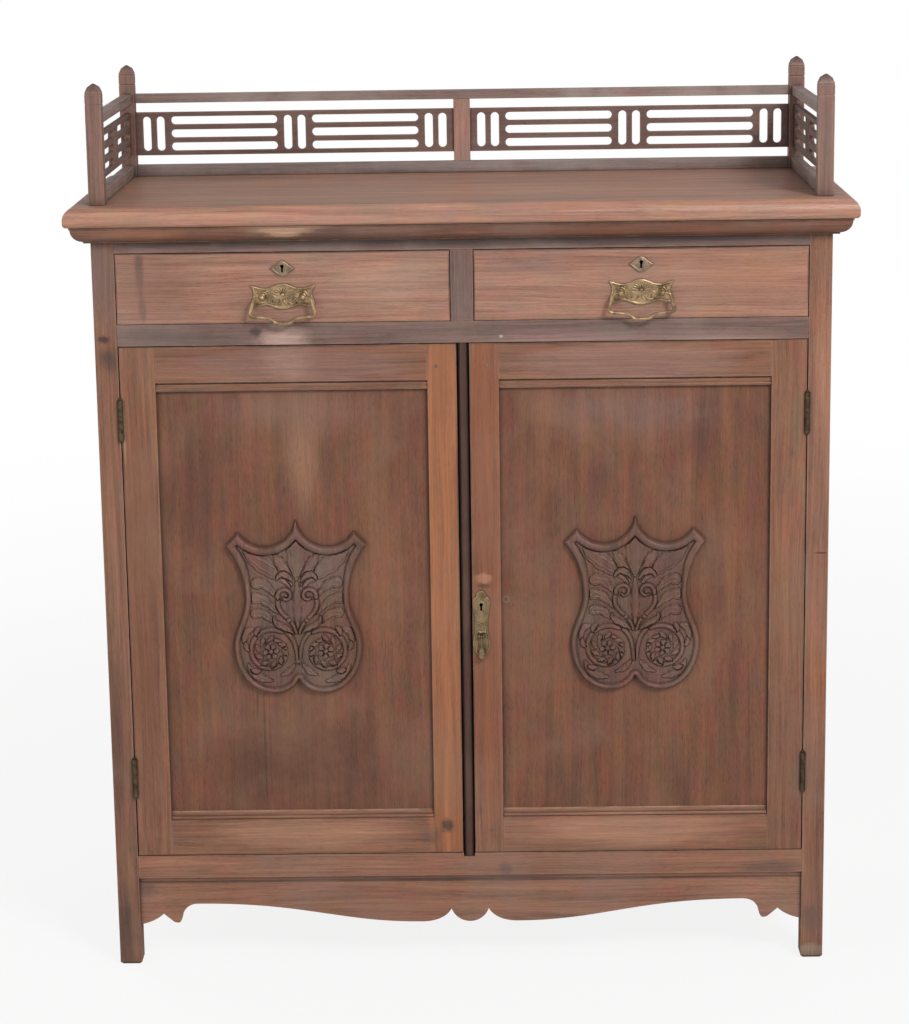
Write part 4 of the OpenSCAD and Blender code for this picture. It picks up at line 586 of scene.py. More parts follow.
def lay_grain(mesh, seed_word):
    """Writes each vertex's place in its own board, grain along Z, as the attribute plank."""
    chance = np.random.default_rng(crc32(seed_word.encode()))
    at = np.empty(len(mesh.vertices) * 3)
    mesh.vertices.foreach_get("co", at)
    at, piece = at.reshape(-1, 3), islands(mesh)
    plank = np.empty_like(at)
    for number in range(piece.max() + 1):
        own = piece == number
        sides = np.ptp(at[own], axis=0)
        order = np.argsort(-sides, kind="stable")[[1, 2, 0]]
        plank[own] = (at[own] - at[own].mean(0))[:, order] + chance.uniform(-2, 2, 3)
    values = mesh.attributes.new("plank", "FLOAT_VECTOR", "POINT")
    values.data.foreach_set("vector", plank.astype(np.float32).ravel())


print("helpers for grain are ready")

# %% [markdown]
# The Bevel modifier rounds the edges, as a hand plane leaves them. Where edges crowd, a rounding can fold a
# thin face over. So gentler ways are tried one after the other, and the first that folds nothing is kept.

# %% Helpers for rounded edges
KNIFE = radians(150)
FOLDED_BACK, FLAP = -0.9995, 0.05 * MM ** 2
ROUNDING_WAYS = [  # share of the radius, outer edges only, only edges with room at both ends
    (1.0, False, False), (1.0, True, False), (0.6, False, False), (0.6, True, False), (0.4, True, False),
    (1.0, True, True), (0.5, True, True), (0.25, True, True), (0.1, True, True)]


def settled(piece):
    """Applies a piece's modifiers and leaves it a plain mesh."""
    mesh = bpy.data.meshes.new_from_object(piece.evaluated_get(bpy.context.evaluated_depsgraph_get()))
    piece.modifiers.clear()
    piece.data = mesh
    return piece


def room_beside(edge):
    """How near another corner of its faces comes to an edge, or the length of the edge if that is less."""
    start, end = (v.co for v in edge.verts)
    along = (end - start).normalized()
    gaps = [(v.co - start).cross(along).length for face in edge.link_faces for v in face.verts]
    return min([edge.calc_length()] + [gap for gap in gaps if gap > 0.01 * MM])


def mark_edges(mesh, radius, outer_only, roomy_only):
    """Marks the edges to round: the sharp ones, the outer ones of these, or those with room at both ends."""
    with editing(mesh) as form:
        weight = form.edges.layers.float.new("bevel_weight_edge")
        sharp = [edge for edge in form.edges if edge.is_manifold and edge.calc_face_angle(0) > SHARP]
        tight = {v for edge in sharp if outer_only and edge.calc_face_angle(0) > KNIFE
                 or roomy_only and room_beside(edge) < 1.5 * radius for v in edge.verts}
        for edge in sharp:
            edge[weight] = float((edge.is_convex or not outer_only) and not tight.intersection(edge.verts))


def folded_area(mesh):
    """Area of the triangles that lie folded flat back on a neighbour."""
    mesh.calc_loop_triangles()
    sides = {}
    for triangle in mesh.loop_triangles:
        for side in combinations(sorted(triangle.vertices), 2):
            sides.setdefault(side, []).append(triangle)
    folds = [pair for pair in sides.values()
             if len(pair) == 2 and pair[0].normal.dot(pair[1].normal) < FOLDED_BACK]
    return sum(min(one.area, other.area) for one, other in folds)


def rounded_copy(node, radius):
    """Copy of a solid with its edges rounded in the first way that folds no face, or else the least."""
    plain = merged(frame["nodes"][node].data.copy())
    trials = []
    for share, outer_only, roomy_only in ROUNDING_WAYS:
        piece = new_piece(node + "_trial", plain.copy())
        mark_edges(piece.data, share * radius, outer_only, roomy_only)
        soft = piece.modifiers.new("rounded edges", "BEVEL")
        soft.width = share * radius
        soft.segments = 2
        soft.limit_method = "WEIGHT"
        soft.use_clamp_overlap = False
        soft.loop_slide = not outer_only
        soft.harden_normals = True
        folded = folded_area(settled(piece).data)
        trials.append((folded, len(trials), piece))
        if folded < FLAP:
            break
    trials.sort()
    for *_, spare in trials[1:]:
        bpy.data.objects.remove(spare)
    folded, way, best = trials[0]
    best.name = best.data.name = node + "_finished"
    if way > 0:
        print(node, "rounded as", ROUNDING_WAYS[way], "folded", round(folded / MM ** 2, 2), "square mm")
    return best


print(len(ROUNDING_WAYS), "ways of rounding")

# %% [markdown]
# ## The case
# Legs and rails carry the cabinet. Their arrises are rubbed round by about a millimetre, less on thin
# parts. A row gives the material, its slot, the radius in millimetres and the solids.

# %% Finish the case, the doors and the drawers
BODY_OF = {node: body for body, nodes in frame["record"]["behaviour"]["bodies"].items() for node in nodes}
WOODEN = [
    (leg_wood, "leg_wood", 1.2, "front_legs back_legs"),
    (frame_wood, "frame_wood", 0.8, "top_rail drawer_divider mid_rail"),
    (muntin_wood, "frame_wood", 0.8, "centre_muntin"),
    (rail_wood, "frame_wood", 0.8, "bottom_rail apron side_rails"),
    (panel_wood, "panel_wood", 0.6, "side_panels left_door_panel right_door_panel"),
    (moulding_wood, "top_wood", 0.6, "bed_moulding"),
    (top_wood, "top_wood", 0.8, "top_board"),
    (gallery_wood, "gallery_wood", 0.8, "gallery_corner_posts"),
    (gallery_post_wood, "gallery_wood", 0.8, "gallery_centre_post"),
    (gallery_rail_wood, "gallery_wood", 0.8, "gallery_back_rails gallery_side_rails"),
    (fret_wood, "gallery_wood", 0.5, "gallery_back_frets gallery_side_frets"),
    (door_frame_wood, "door_frame_wood", 0.7, "left_door_stiles left_door_rails"),
    (door_frame_wood, "door_frame_wood", 0.7, "right_door_stiles right_door_rails"),
    (drawer_front_wood, "drawer_front_wood", 0.8, "left_drawer_front right_drawer_front"),
    (inside_wood, "inside_wood", 0.6, "left_drawer_sides left_drawer_back left_drawer_bottom"),
    (inside_wood, "inside_wood", 0.6, "right_drawer_sides right_drawer_back right_drawer_bottom"),
    (inside_wood, "inside_wood", 0.6, "back_rails back_boards drawer_runners drawer_guides kickers"),
    (inside_wood, "inside_wood", 0.6, "cupboard_floor shelf bearers drawer_stops"),
]
METAL = [
    (handle_brass, "handle_brass", 0.3, "left_drawer_plates right_drawer_plates"),
    (plate_brass, "handle_brass", 0.3, "door_lock_plate drop_pull"),
    (dull_brass, "dull_brass", 0.3, "case_hinge_leaves left_door_hinge_leaves right_door_hinge_leaves"),
    (dull_brass, "dull_brass", 0.3, "slide_bolt_plate slide_bolt door_lock door_lock_bolt"),
    (dull_brass, "dull_brass", 0.3, "left_drawer_lock left_drawer_lock_bolt"),
    (dull_brass, "dull_brass", 0.3, "right_drawer_lock right_drawer_lock_bolt"),
]


def place_piece(piece, material, slot, body, *nodes):
    """Gives a piece its material, the body that it rides on and the solids that it stands for; its slot is
    not used.
    """
    piece.data.materials.clear()
    piece.data.materials.append(material)
    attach(piece, body)
    if nodes:
        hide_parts(*nodes)


for material, slot, radius, nodes in WOODEN + METAL:
    for node in nodes.split():
        piece = rounded_copy(node, radius * MM)
        lay_grain(piece.data, node)
        place_piece(piece, material, slot, BODY_OF[node], node)

# %% [markdown]
# ## The carved shields
# Each door has a shield of carved wood glued on its panel: a rounded rim, and inside it scrolls that end in
# flowers, curled leaves, and a pointed leaf under the peak. A carver works such a relief from one face, so
# it is made here as heights over a flat drawing. The outline comes from the solid. A net of small triangles
# fills it, and every leaf or stem is a stroke along a curve that lifts the net. Where a stroke passes, the
# ground beside it is cut down a little, which gives the dark lines that the eye reads as carving.


# %% Helpers for outlines
def outline_at(node, depth):
    """Closed loops, as (x, z) in millimetres, round the faces of a solid that lie flat at a depth y."""
    rim, loops = {}, []
    with editing(merged(frame["nodes"][node].data.copy())) as form:
        flat = [f for f in form.faces if abs(abs(f.normal.y) - 1) < 0.001
                and abs(f.calc_center_median().y - depth) < 0.02 * MM]
        for face in flat:
            for loop in face.loops:
                if sum(f in flat for f in loop.edge.link_faces) == 1:
                    rim[loop.vert.index] = loop.link_loop_next.vert.index
        at = {v.index: (v.co.x / MM, v.co.z / MM) for v in form.verts}
    while rim:
        start, follow = rim.popitem()
        ring = [start]
        while follow != start:
            ring.append(follow)
            follow = rim.pop(follow)
        loops.append(np.array([at[i] for i in ring]))
    return sorted(loops, key=lambda ring: -np.ptp(ring, axis=0).prod())


print("helpers for outlines are ready")

# %% [markdown]
# The net needs two measures at each of its points: how far the rim is, and whether it lies inside. A
# constrained triangulation then joins the points without crossing the rim. The filled net becomes a closed
# piece: its front stands proud by the heights, walls run back from its rim, and a flat face closes the
# back.

# %% Helpers for a net
RELIEF_SHARP = radians(50)


def lengths_along(path):
    """How far along a path of points each of its points is."""
    return np.concatenate([[0], np.cumsum(np.hypot(*np.diff(path, axis=0).T))])


def to_path(at, path):
    """Each point's distance to a path of points, and how far along the path it is met, from 0 to 1."""
    reached = lengths_along(path)
    least, along = np.full(len(at), np.inf), np.zeros(len(at))
    for start, run, before in zip(path[:-1], np.diff(path, axis=0), reached):
        length = np.hypot(*run)
        share = np.clip((at - start) @ run / length ** 2, 0, 1)
        distance = np.hypot(*(at - start - share[:, None] * run).T)
        nearer = distance < least
        least[nearer] = distance[nearer]
        along[nearer] = (before + share[nearer] * length) / reached[-1]
    return least, along


def to_rim(at, loops):
    """Each point's distance to the nearest of the closed loops."""
    return np.min([to_path(at, np.vstack([ring, ring[:1]]))[0] for ring in loops], axis=0)


def inside(at, loops):
    """True for the points that the loops enclose, holes left out."""
    enclosed = np.zeros(len(at), bool)
    for ring in loops:
        for (x0, z0), (x1, z1) in zip(ring, np.roll(ring, -1, axis=0)):
            spans = (z0 > at[:, 1]) != (z1 > at[:, 1])
            slope = (x1 - x0) / (z1 - z0) if z1 != z0 else 0.0
            enclosed ^= spans & (at[:, 0] < x0 + slope * (at[:, 1] - z0))
    return enclosed


def net_over(loops, cell):
    """Points that fill the loops, the loops' own first, their triangles, and their distance to the rim."""
    steps = [np.arange(a + cell / 2, b, cell) for a, b in zip(loops[0].min(0), loops[0].max(0))]
    grid = np.stack(np.meshgrid(*steps), -1).reshape(-1, 2)
    grid = grid[inside(grid, loops)]
    at = np.vstack([*loops, grid[to_rim(grid, loops) > cell * 0.45]])
    edges, first = [], 0
    for ring in loops:
        edges += [(first + i, first + (i + 1) % len(ring)) for i in range(len(ring))]
        first += len(ring)
    points, _, faces, *_ = delaunay_2d_cdt([Vector(p) for p in at], edges, [], 0, 1e-5)
    at, faces = np.array([tuple(p) for p in points]), np.array(faces)
    return at, faces[inside(at[faces].mean(1), loops)], to_rim(at, loops)


def relief_piece(name, at, faces, heights, face_y, back_y):
    """A closed piece in front of face_y (metres) whose front stands proud by heights (millimetres)."""
    mesh = bpy.data.meshes.new(name)
    front = [(x * MM, face_y - h * MM, z * MM) for (x, z), h in zip(at, heights)]
    mesh.from_pydata(front, [], faces.tolist())
    with editing(mesh) as form:
        bmesh.ops.delete(form, geom=[v for v in form.verts if not v.link_faces], context="VERTS")
        walls = bmesh.ops.extrude_edge_only(form, edges=[e for e in form.edges if e.is_boundary])["geom"]
        for vert in walls:
            if isinstance(vert, bmesh.types.BMVert):
                vert.co.y = back_y
        bmesh.ops.holes_fill(form, edges=[e for e in form.edges if e.is_boundary], sides=0)
        bmesh.ops.recalc_face_normals(form, faces=form.faces)
        shade(form, RELIEF_SHARP)
    return new_piece(name, mesh)


print("helpers for a net are ready")

# %% [markdown]
# A stroke follows a Bezier curve or a spiral, and has a half width that changes along it: a stem tapers, a
# leaf swells and ends in a point, a lobe grows and ends round.


# %% Helpers for lines and leaves
def bend(*points, count=24):
    """Points of a Bezier curve."""
    share = np.linspace(0, 1, count)[:, None]
    points = [np.array(p, float) for p in points]
    while len(points) > 1:
        points = [a + (b - a) * share for a, b in zip(points, points[1:])]
    return points[0]


def scroll(centre, far, near, start, end, count=72):
    """Points of a spiral, with its angles in degrees."""
    angle = np.radians(np.linspace(start, end, count))
    reach = np.linspace(far, near, count)
    return np.stack([centre[0] + reach * np.cos(angle), centre[1] + reach * np.sin(angle)], 1)


def stem(thick, thin):
    """Half width of a stem that tapers evenly."""
    return lambda along: thick + (thin - thick) * along


def leaf(widest, at_share=0.4):
    """Half width of a leaf that is widest at a share of its length and ends in a point."""
    power = np.log(0.5) / np.log(at_share)
    return lambda along: widest * np.sin(np.pi * np.clip(along, 0, 1) ** power) ** 0.8 + 0.2


def lobe(widest):
    """Half width of a leaf that grows all along and ends round."""
    return lambda along: widest * np.sqrt(np.clip(1 - (1 - along) ** 2, 0, 1)) * (0.45 + 0.55 * along)


print("helpers for lines and leaves are ready")

# %% [markdown]
# The section of a stroke is round. A leaf also has a vein cut down its middle, flutes beside it and
# scallops along its border. Where nothing is cut, the ground still shows the uneven marks of the tool.

# %% Helpers for carving
SCALLOP, LOBE_CUT, VEIN_W = 0.2, 0.32, 0.9
FLUTES, FLUTE_CUT, FULL_FLUTES_W = 2.5, 0.16, 5
TRENCH_DEPTH, KNOB_TRENCH_W, KNOB_TRENCH_DEPTH = 0.7, 0.9, 0.4


def carve(heights, at, path, width, rise, base, vein=0.0, lobes=0, trench=1.1):
    """Lifts a rounded stroke from the base along a path. Its half width is a function of the way along."""
    distance, along = to_path(at, path)
    half = width(along)
    if lobes:
        half = half * (1 - SCALLOP + SCALLOP * np.abs(np.cos(np.pi * lobes * along)))
    share = distance / np.maximum(half, 0.05)
    body = base + rise * np.sqrt(np.clip(1 - share ** 2, 0, None)) - vein * np.exp(-(distance / VEIN_W) ** 2)
    if lobes:
        slant = np.abs(np.sin(np.pi * lobes * (along + 0.12 * share)))
        body -= LOBE_CUT * rise * np.clip(share * 1.3, 0, 1) * slant ** 3
    if vein:
        body -= FLUTE_CUT * rise * (1 - np.cos(tau * FLUTES * share)) * np.clip(half / FULL_FLUTES_W, 0, 1)
    on, beside = share < 1, (share >= 1) & (distance < half + trench)
    heights[on] = body[on] if vein else np.maximum(heights[on], body[on])
    heights[beside] = np.minimum(heights[beside], base - TRENCH_DEPTH)


def knob(heights, at, place, radius, rise, base):
    """Sets a round berry on the base, with a cut ring about it."""
    distance = np.hypot(*(at - place).T)
    cap = base + rise * np.sqrt(np.clip(1 - (distance / radius) ** 2, 0, None))
    ring = (distance > radius) & (distance < radius + KNOB_TRENCH_W)
    heights[distance < radius] = cap[distance < radius]
    heights[ring] = np.minimum(heights[ring], base - KNOB_TRENCH_DEPTH)


def rough_hand(at, chance, size, depth):
    """Uneven tool work: a sum of a few waves with fixed random directions."""
    waves, total = 12, np.zeros(len(at))
    for _ in range(waves):
        angle, phase, pitch = chance.uniform(0, tau), chance.uniform(0, tau), size * chance.uniform(0.6, 1.6)
        total += np.sin((at[:, 0] * cos(angle) + at[:, 1] * sin(angle)) * tau / pitch + phase)
    return depth * total / waves ** 0.5


print("helpers for carving are ready")

# %% [markdown]
# The same drawing serves both doors. It is worked out about the shield's middle for the right half,
# mirrored for the left half, and each shield gets its own small errors of the hand. From the bottom up
# there are two scrolls of leaves with a flower in each, a lyre of two curled stems with a bud between them,
# lobed leaves that fold over at the sides, and a pointed leaf that hangs from the peak between two pairs of
# long leaves.

# %% Draw the foliage
GROUND = 6.0
FLOWER = np.array([42.0, -70.0])
LYRE = np.array([17.0, 18.0])


def curled(centre, near, far, angle, turn):
    """A short leaf that leaves a circle of radius near and bends sideways as it reaches far."""
    steps = ((near, angle), ((near + far) / 2 + 2, angle), (far, angle + turn))
    return bend(*[(centre[0] + reach * cos(radians(heading)), centre[1] + reach * sin(radians(heading)))
                  for reach, heading in steps])


def foliage(hand):
    """Yields (path, width, rise, base, vein, lobes) for the right half, in the order of carving."""
    def off(x, z):
        """A point that the hand misses by a little."""
        return x + hand.normal(0, 0.6), z + hand.normal(0, 0.6)
    yield bend(off(10, 30), off(20, 58), off(46, 54), off(80, 90)), leaf(15, 0.55), 3.4, GROUND, 1.2, 5
    yield bend(off(6, 32), off(12, 60), off(26, 64), off(33, 88)), leaf(9, 0.55), 4.0, GROUND + 0.3, 1.3, 4
    for height, out, wide in ((2, 66, 9.5), (-22, 64, 8.5), (26, 62, 9.5)):
        yield (bend(off(22, height - 14), off(38, height - 6), off(48, height + 16), off(out, height + 12)),
               lobe(wide), 4.0, GROUND + 0.1, 1.1, 3)
    yield bend(off(66, -36), off(80, -32), off(86, -48), off(80, -64)), leaf(6, 0.4), 3.6, GROUND, 1.0, 3
    yield bend(off(78, -88), off(74, -104), off(60, -116), off(40, -116)), leaf(7, 0.5), 3.6, GROUND, 1.0, 4
    yield bend(off(30, -108), off(20, -108), off(10, -100), off(6, -90)), leaf(5, 0.5), 3.4, GROUND, 0.8, 2
    yield bend(off(2.5, -88), off(3, -62), off(8, -44), off(25, -36)), stem(2.4, 3.6), 4.0, GROUND, 0, 0
    yield scroll(off(*FLOWER), 36, 17, 118, -300), stem(3.8, 2.6), 4.0, GROUND, 0, 0
    for angle in range(100, -240, -38):
        yield curled(FLOWER, 26, 17, angle, -26), leaf(4.2, 0.5), 3.8, GROUND + 0.2, 0.6, 2
    for angle in (50, 5, -60):
        yield curled(FLOWER, 33, 42, angle, 18), leaf(4, 0.5), 3.6, GROUND, 0.6, 0
    yield (bend(off(2, -40), off(6, -16), off(36, -12), off(*(LYRE + (12, -2)))), stem(2.4, 3.4), 4.2,
           GROUND, 0, 0)
    yield scroll(off(*LYRE), 12, 5, -8, 300), stem(3.4, 2.2), 4.3, GROUND, 0, 0
    yield (bend(off(6, -42), off(16, -30), off(30, -30), off(40, -22), off(34, -14)), leaf(5.5, 0.5), 4.2,
           GROUND, 1.0, 3)
    yield bend(off(6, 40), off(14, 54), off(27, 56), off(31, 42)), leaf(5.5, 0.5), 4.4, GROUND + 0.2, 1.0, 2


print("the foliage of one half takes", len(list(foliage(np.random.default_rng(0)))), "strokes")

# %% [markdown]
# Flowers, berries and the leaves on the middle line come after the strokes. The rim is last, since it
# frames them: it is wider over the top, as in the picture, and falls steeply to the panel on its outer
# side.

# %% Carve the shields
SHIELD_CELL = 1.15
RIM_TOP, RIM_LOW, RIM_FOOT = 10.9, 7.6, 3.6
RIM_W_TOP, RIM_W_SIDE, FOOT_W = 12.0, 8.5, 2.4
LEAST, MOST = 3.5, 11.0


def carved_shield(door, seed):
    """Carves the shield of a door."""
    node = door + "_door_shield"
    low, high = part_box(node)
    middle = np.array([(low.x + high.x) / 2, (low.z + high.z) / 2]) / MM
    at, faces, rim_gap = net_over(outline_at(node, high.y)[:1], SHIELD_CELL)
    local = at - middle
    hand = np.random.default_rng(seed)
    heights = GROUND + rough_hand(local, hand, 3.5, 0.25)
    for path, *shape in foliage(hand):
        for side in (1, -1):
            carve(heights, local, path * (side, 1) + hand.normal(0, 0.4, 2), *shape)
    for side in (1, -1):
        flower = FLOWER * (side, 1)
        for turn in np.radians(np.arange(0, 360, 60) + 15):
            out, across = np.array([cos(turn), sin(turn)]), np.array([-sin(turn), cos(turn)]) * side
            petal = np.stack([flower + out * 3.5, flower + out * 8 + across * 1.5, flower + out * 12.5])
            carve(heights, local, petal, leaf(4.0, 0.6), 3.8, GROUND + 0.3, 0.8)
        knob(heights, local, flower, 3.6, 2.6, GROUND + 1.8)
        knob(heights, local, (14 * side, -21), 3.6, 3.4, GROUND + 0.4)
        knob(heights, local, LYRE * (side, 1), 2.4, 2.2, GROUND + 0.8)
    carve(heights, local, bend((0, -36), (0, -4), (0, 44)), leaf(7, 0.5), 4.2, GROUND + 0.4, 1.5, 4)
    carve(heights, local, bend((0, 116), (0, 84), (0, 42)), leaf(16, 0.45), 3.8, GROUND + 0.8, 1.6, 3)
    over_top = np.clip((local[:, 1] - 30) / 40, 0, 1)
    rim_w = RIM_W_SIDE + (RIM_W_TOP - RIM_W_SIDE) * over_top
    share = np.clip(rim_gap / rim_w, 0, 1)
    rim = RIM_LOW + (RIM_TOP - RIM_LOW) * np.sin(np.pi * share) ** 0.8 + rough_hand(local, hand, 22, 0.12)
    rim = np.minimum(rim, RIM_FOOT + (RIM_TOP - RIM_FOOT) * rim_gap / FOOT_W)
    heights[share < 1] = rim[share < 1]
    under = (share == 1) & (rim_gap < rim_w + 1.5)
    heights[under] = np.minimum(heights[under], GROUND - 0.5 - 0.4 * over_top[under])
    piece = relief_piece(door + "_door_carving", at, faces, np.clip(heights, LEAST, MOST), high.y, high.y)
    lay_grain(piece.data, node)
    place_piece(piece, carved_wood, "carved_wood", door + "_door", node)
    print(piece.name, len(piece.data.polygons), "faces")


for door, seed in zip(SIDES, (3, 4)):
    carved_shield(door, seed)

# %% [markdown]
# ## Stamped brass
# The drawer's backplate and its escutcheon, and the lock plate of the door, were stamped from thin sheet in
# a steel die. The stamping has a bead round the border and fine scrolls and shells inside. It stands less
# than two millimetres proud, so it is a second, thin relief laid on the plate's own face, cut by the same
# helpers. Strokes and knobs are drawn for the right half about the middle of a face, and are mirrored.

# %% Stamp the plates
PLATE_FACE_Y, PLATE_CELL, LEAST_FACE = -199.1 * MM, 0.55, 15
PLATE_GROUND, BEAD_RISE, BEAD_IN, BEAD_SPREAD, BORDER_W = 0.25, 0.9, 1.6, 0.8, 3.2


def stamp(name, node, skins, strokes, knobs, seed):
    """Lays a relief on each front face of a plate, the largest face first."""
    loops = outline_at(node, PLATE_FACE_Y)
    hand = np.random.default_rng(seed)
    for number, ring in enumerate(ring for ring in loops if np.ptp(ring[:, 1]) > LEAST_FACE):
        holes = [hole for hole in loops if inside(hole.mean(0)[None], [ring])[0] and hole is not ring]
        at, faces, gap = net_over([ring, *holes], PLATE_CELL)
        local = at - (ring.min(0) + ring.max(0)) / 2
        heights = PLATE_GROUND + rough_hand(local, hand, 1.6, 0.07)
        for path, width, rise in strokes[number]:
            for side in (1, -1):
                carve(heights, local, path * (side, 1), width, rise, PLATE_GROUND, trench=0.5)
        for place, radius, rise in knobs[number]:
            for side in (1, -1):
                knob(heights, local, np.array(place) * (side, 1), radius, rise, 0.4)
        bead = BEAD_RISE * np.exp(-((gap - BEAD_IN) / BEAD_SPREAD) ** 2)
        heights = np.clip(np.where(gap < BORDER_W, 0.2 + bead, heights), 0.1, 2.0)
        piece = relief_piece(f"{name}_{number}", at, faces, heights, PLATE_FACE_Y, PLATE_FACE_Y + 0.3 * MM)
        place_piece(piece, skins[number], "handle_brass", BODY_OF[node])
        print(piece.name, len(piece.data.polygons), "faces")


spokes = [bend((0, 2), (9 * sin(a), 2 + 9 * cos(a)), (15 * sin(a), 2 + 13 * cos(a)))
          for a in np.radians(range(0, 80, 19))]
backplate_strokes = [(path, leaf(2.1, 0.6), 1.1) for path in spokes] + [
    (scroll((17, -6), 7.5, 2.5, 150, -250), stem(1.4, 0.8), 1.0),
    (scroll((39, 6), 5.5, 2, -60, 260), stem(1.3, 0.7), 0.9),
    (bend((4, -4), (8, -14), (22, -14), (32, -9), (40, -12)), leaf(2.4, 0.5), 1.0),
    (bend((20, 5), (28, 12), (40, 8), (45, 14)), leaf(2.0, 0.5), 0.9),
    (bend((0, -4), (2, -9), (8, -13)), leaf(1.8, 0.5), 1.0)]
backplate_knobs = [((0, 2), 3.0, 1.3), ((17, -6), 1.8, 0.9)]
scutcheon_strokes = [(bend((6, 0), (9, 4), (13, 0)), leaf(1.2, 0.5), 0.5),
                     (bend((3, -8), (8, -6), (12, -2)), leaf(1.0), 0.5)]
lock_strokes = [
    (bend((0, 50), (0, 40)), leaf(2.4, 0.5), 0.9),
    (bend((2, 12), (9, 20), (9, 34), (5, 44)), leaf(1.6, 0.5), 0.7),
    (scroll((4.5, 2), 3.6, 1.4, 100, -200), stem(1.0, 0.6), 0.8),
    (bend((1, -4), (7, -10), (8, -22), (5, -34)), leaf(1.6, 0.5), 0.7)]
for side, seed in zip(SIDES, (20, 21)):
    stamp(side + "_drawer_stamping", side + "_drawer_plates", (handle_brass, scutcheon_brass),
          (backplate_strokes, scutcheon_strokes), (backplate_knobs, []), seed)
stamp("door_stamping", "door_lock_plate", (plate_brass,), (lock_strokes,), ([((0, 4), 1.8, 0.8)],), 30)

# %% [markdown]
# ## Bails and fixings by Geometry Nodes
# A bail is a cast brass wire that hangs from two posts: thin in the posts, thick at its shoulders and in
# the middle of its bar. A wire that follows a line is swept: the line's points carry a thickness, and a
# circle runs along it. Screws and nails are one head copied to many points. Both are small node trees, so
# that a line or a list of points is all that each piece needs.


# %% Helpers for Geometry Nodes
def geometry_tree(name, inputs):
    """A new Geometry Nodes group: its tree, the wires that come in and the sockets that lead out."""
    return new_group(name, "GeometryNodeTree", {"Geometry": "Geometry", **inputs}, {"Geometry": "Geometry"})


def grown(name, tree, points, edges, attribute, values, settings):
    """Runs a tree on points that carry an attribute, and leaves a plain mesh."""
    mesh = bpy.data.meshes.new(name)
    mesh.from_pydata([tuple(p) for p in points], edges, [])
    kind, field = ("FLOAT_VECTOR", "vector") if np.ndim(values) == 2 else ("FLOAT", "value")
    mesh.attributes.new(attribute, kind, "POINT").data.foreach_set(field, np.ravel(values).astype(np.float32))
    piece = new_piece(name, mesh)
    live = piece.modifiers.new(tree.name, "NODES")
    live.node_group = tree
    for item in tree.interface.items_tree:
        if item.item_type == "SOCKET" and item.in_out == "INPUT" and item.name in settings:
            live[item.identifier] = settings[item.name]
    return settled(piece)


print("helpers for Geometry Nodes are ready")

# %% Tree: swept wire
wire_tree, given, made = geometry_tree("swept wire", {"Sides": "Int", "Material": "Material"})
line = wire(wire_tree, "GeometryNodeMeshToCurve", {"Mesh": given["Geometry"]})
ring = wire(wire_tree, "GeometryNodeCurvePrimitiveCircle", {"Resolution": given["Sides"], "Radius": 1.0})
thick = wire(wire_tree, "GeometryNodeInputNamedAttribute", {"Name": "thick"}, data_type="FLOAT")
swept = wire(wire_tree, "GeometryNodeCurveToMesh", {
    "Curve": line, "Profile Curve": ring, "Scale": thick, "Fill Caps": True})
swept = wire(wire_tree, "GeometryNodeSetShadeSmooth", {"Geometry": swept, "Shade Smooth": True})
swept = wire(wire_tree, "GeometryNodeSetMaterial", {"Geometry": swept, "Material": given["Material"]})
swept.to(made["Geometry"])
print("tree", wire_tree.name, "has", len(wire_tree.nodes), "nodes")

# %% Bend the bails
BAIL_BENDS = ((2, 6, -74), (19, 4.5, -100), (21.5, 12, 32), (4.8, 12, -38))  # run, radius, turn
PIN_START, BAIL_START, TURN_STEP = 26.6, 35.3, 8
PIN_DROP, BAIL_SIDES = 2.2, 20
THICK_AT = ((0, 1.6), (0.13, 1.6), (0.17, 2.3), (0.36, 2.9), (0.47, 2.7), (0.56, 1.9), (0.74, 2.0),
            (0.84, 2.7), (1, 3.1))  # share of the half's length, half thickness


def bail_half():
    """Points of the right half of a bail, from its pin to the middle of its bar, about the pins' middle."""
    x, z, heading = BAIL_START, 0.0, 0.0
    points = [(PIN_START, 0.0), (x - 0.6, 0.0), (x, 0.0)]
    for run, radius, turn in BAIL_BENDS:
        steps = max(2, round(abs(turn) / TURN_STEP))
        x, z = x + run * cos(radians(heading)), z + run * sin(radians(heading))
        points.append((x, z))
        for _ in range(steps):
            step = radius * radians(abs(turn)) / steps
            heading += turn / steps / 2
            x, z = x + step * cos(radians(heading)), z + step * sin(radians(heading))
            heading += turn / steps / 2
            points.append((x, z))
    return np.array(points)


def hang_bail(node):
    """Hangs a bail with its pins where the solid has them."""
    low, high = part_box(node)
    half = bail_half()
    whole = np.vstack([half, (half * (-1, 1))[::-1]])
    reached = lengths_along(half)
    thick = np.interp(reached / (reached[-1] + half[-1, 0]), *zip(*THICK_AT))
    centre_x, centre_y, pin_z = (low.x + high.x) / 2, (low.y + high.y) / 2, high.z - PIN_DROP * MM
    points = [(centre_x + x * MM, centre_y, pin_z + z * MM) for x, z in whole]
    edges = [(i, i + 1) for i in range(len(points) - 1)]
    thick = np.concatenate([thick, thick[::-1]]) * MM
    piece = grown(node + "_wire", wire_tree, points, edges, "thick", thick,
                  {"Sides": BAIL_SIDES, "Material": handle_brass})
    place_piece(piece, handle_brass, "handle_brass", BODY_OF[node], node)
    print(piece.name, "ends", round((min(p[2] for p in points) - low.z) / MM, 2), "mm over the solid's foot")


for side in SIDES:
    hang_bail(side + "_bail")

# %% [markdown]
# The same swept line makes the bead that runs along the bottom rail of each door, just under its slope. It
# is a round stick let into the rail that stands out by less than a millimetre, seen as one light and one
# dark line.

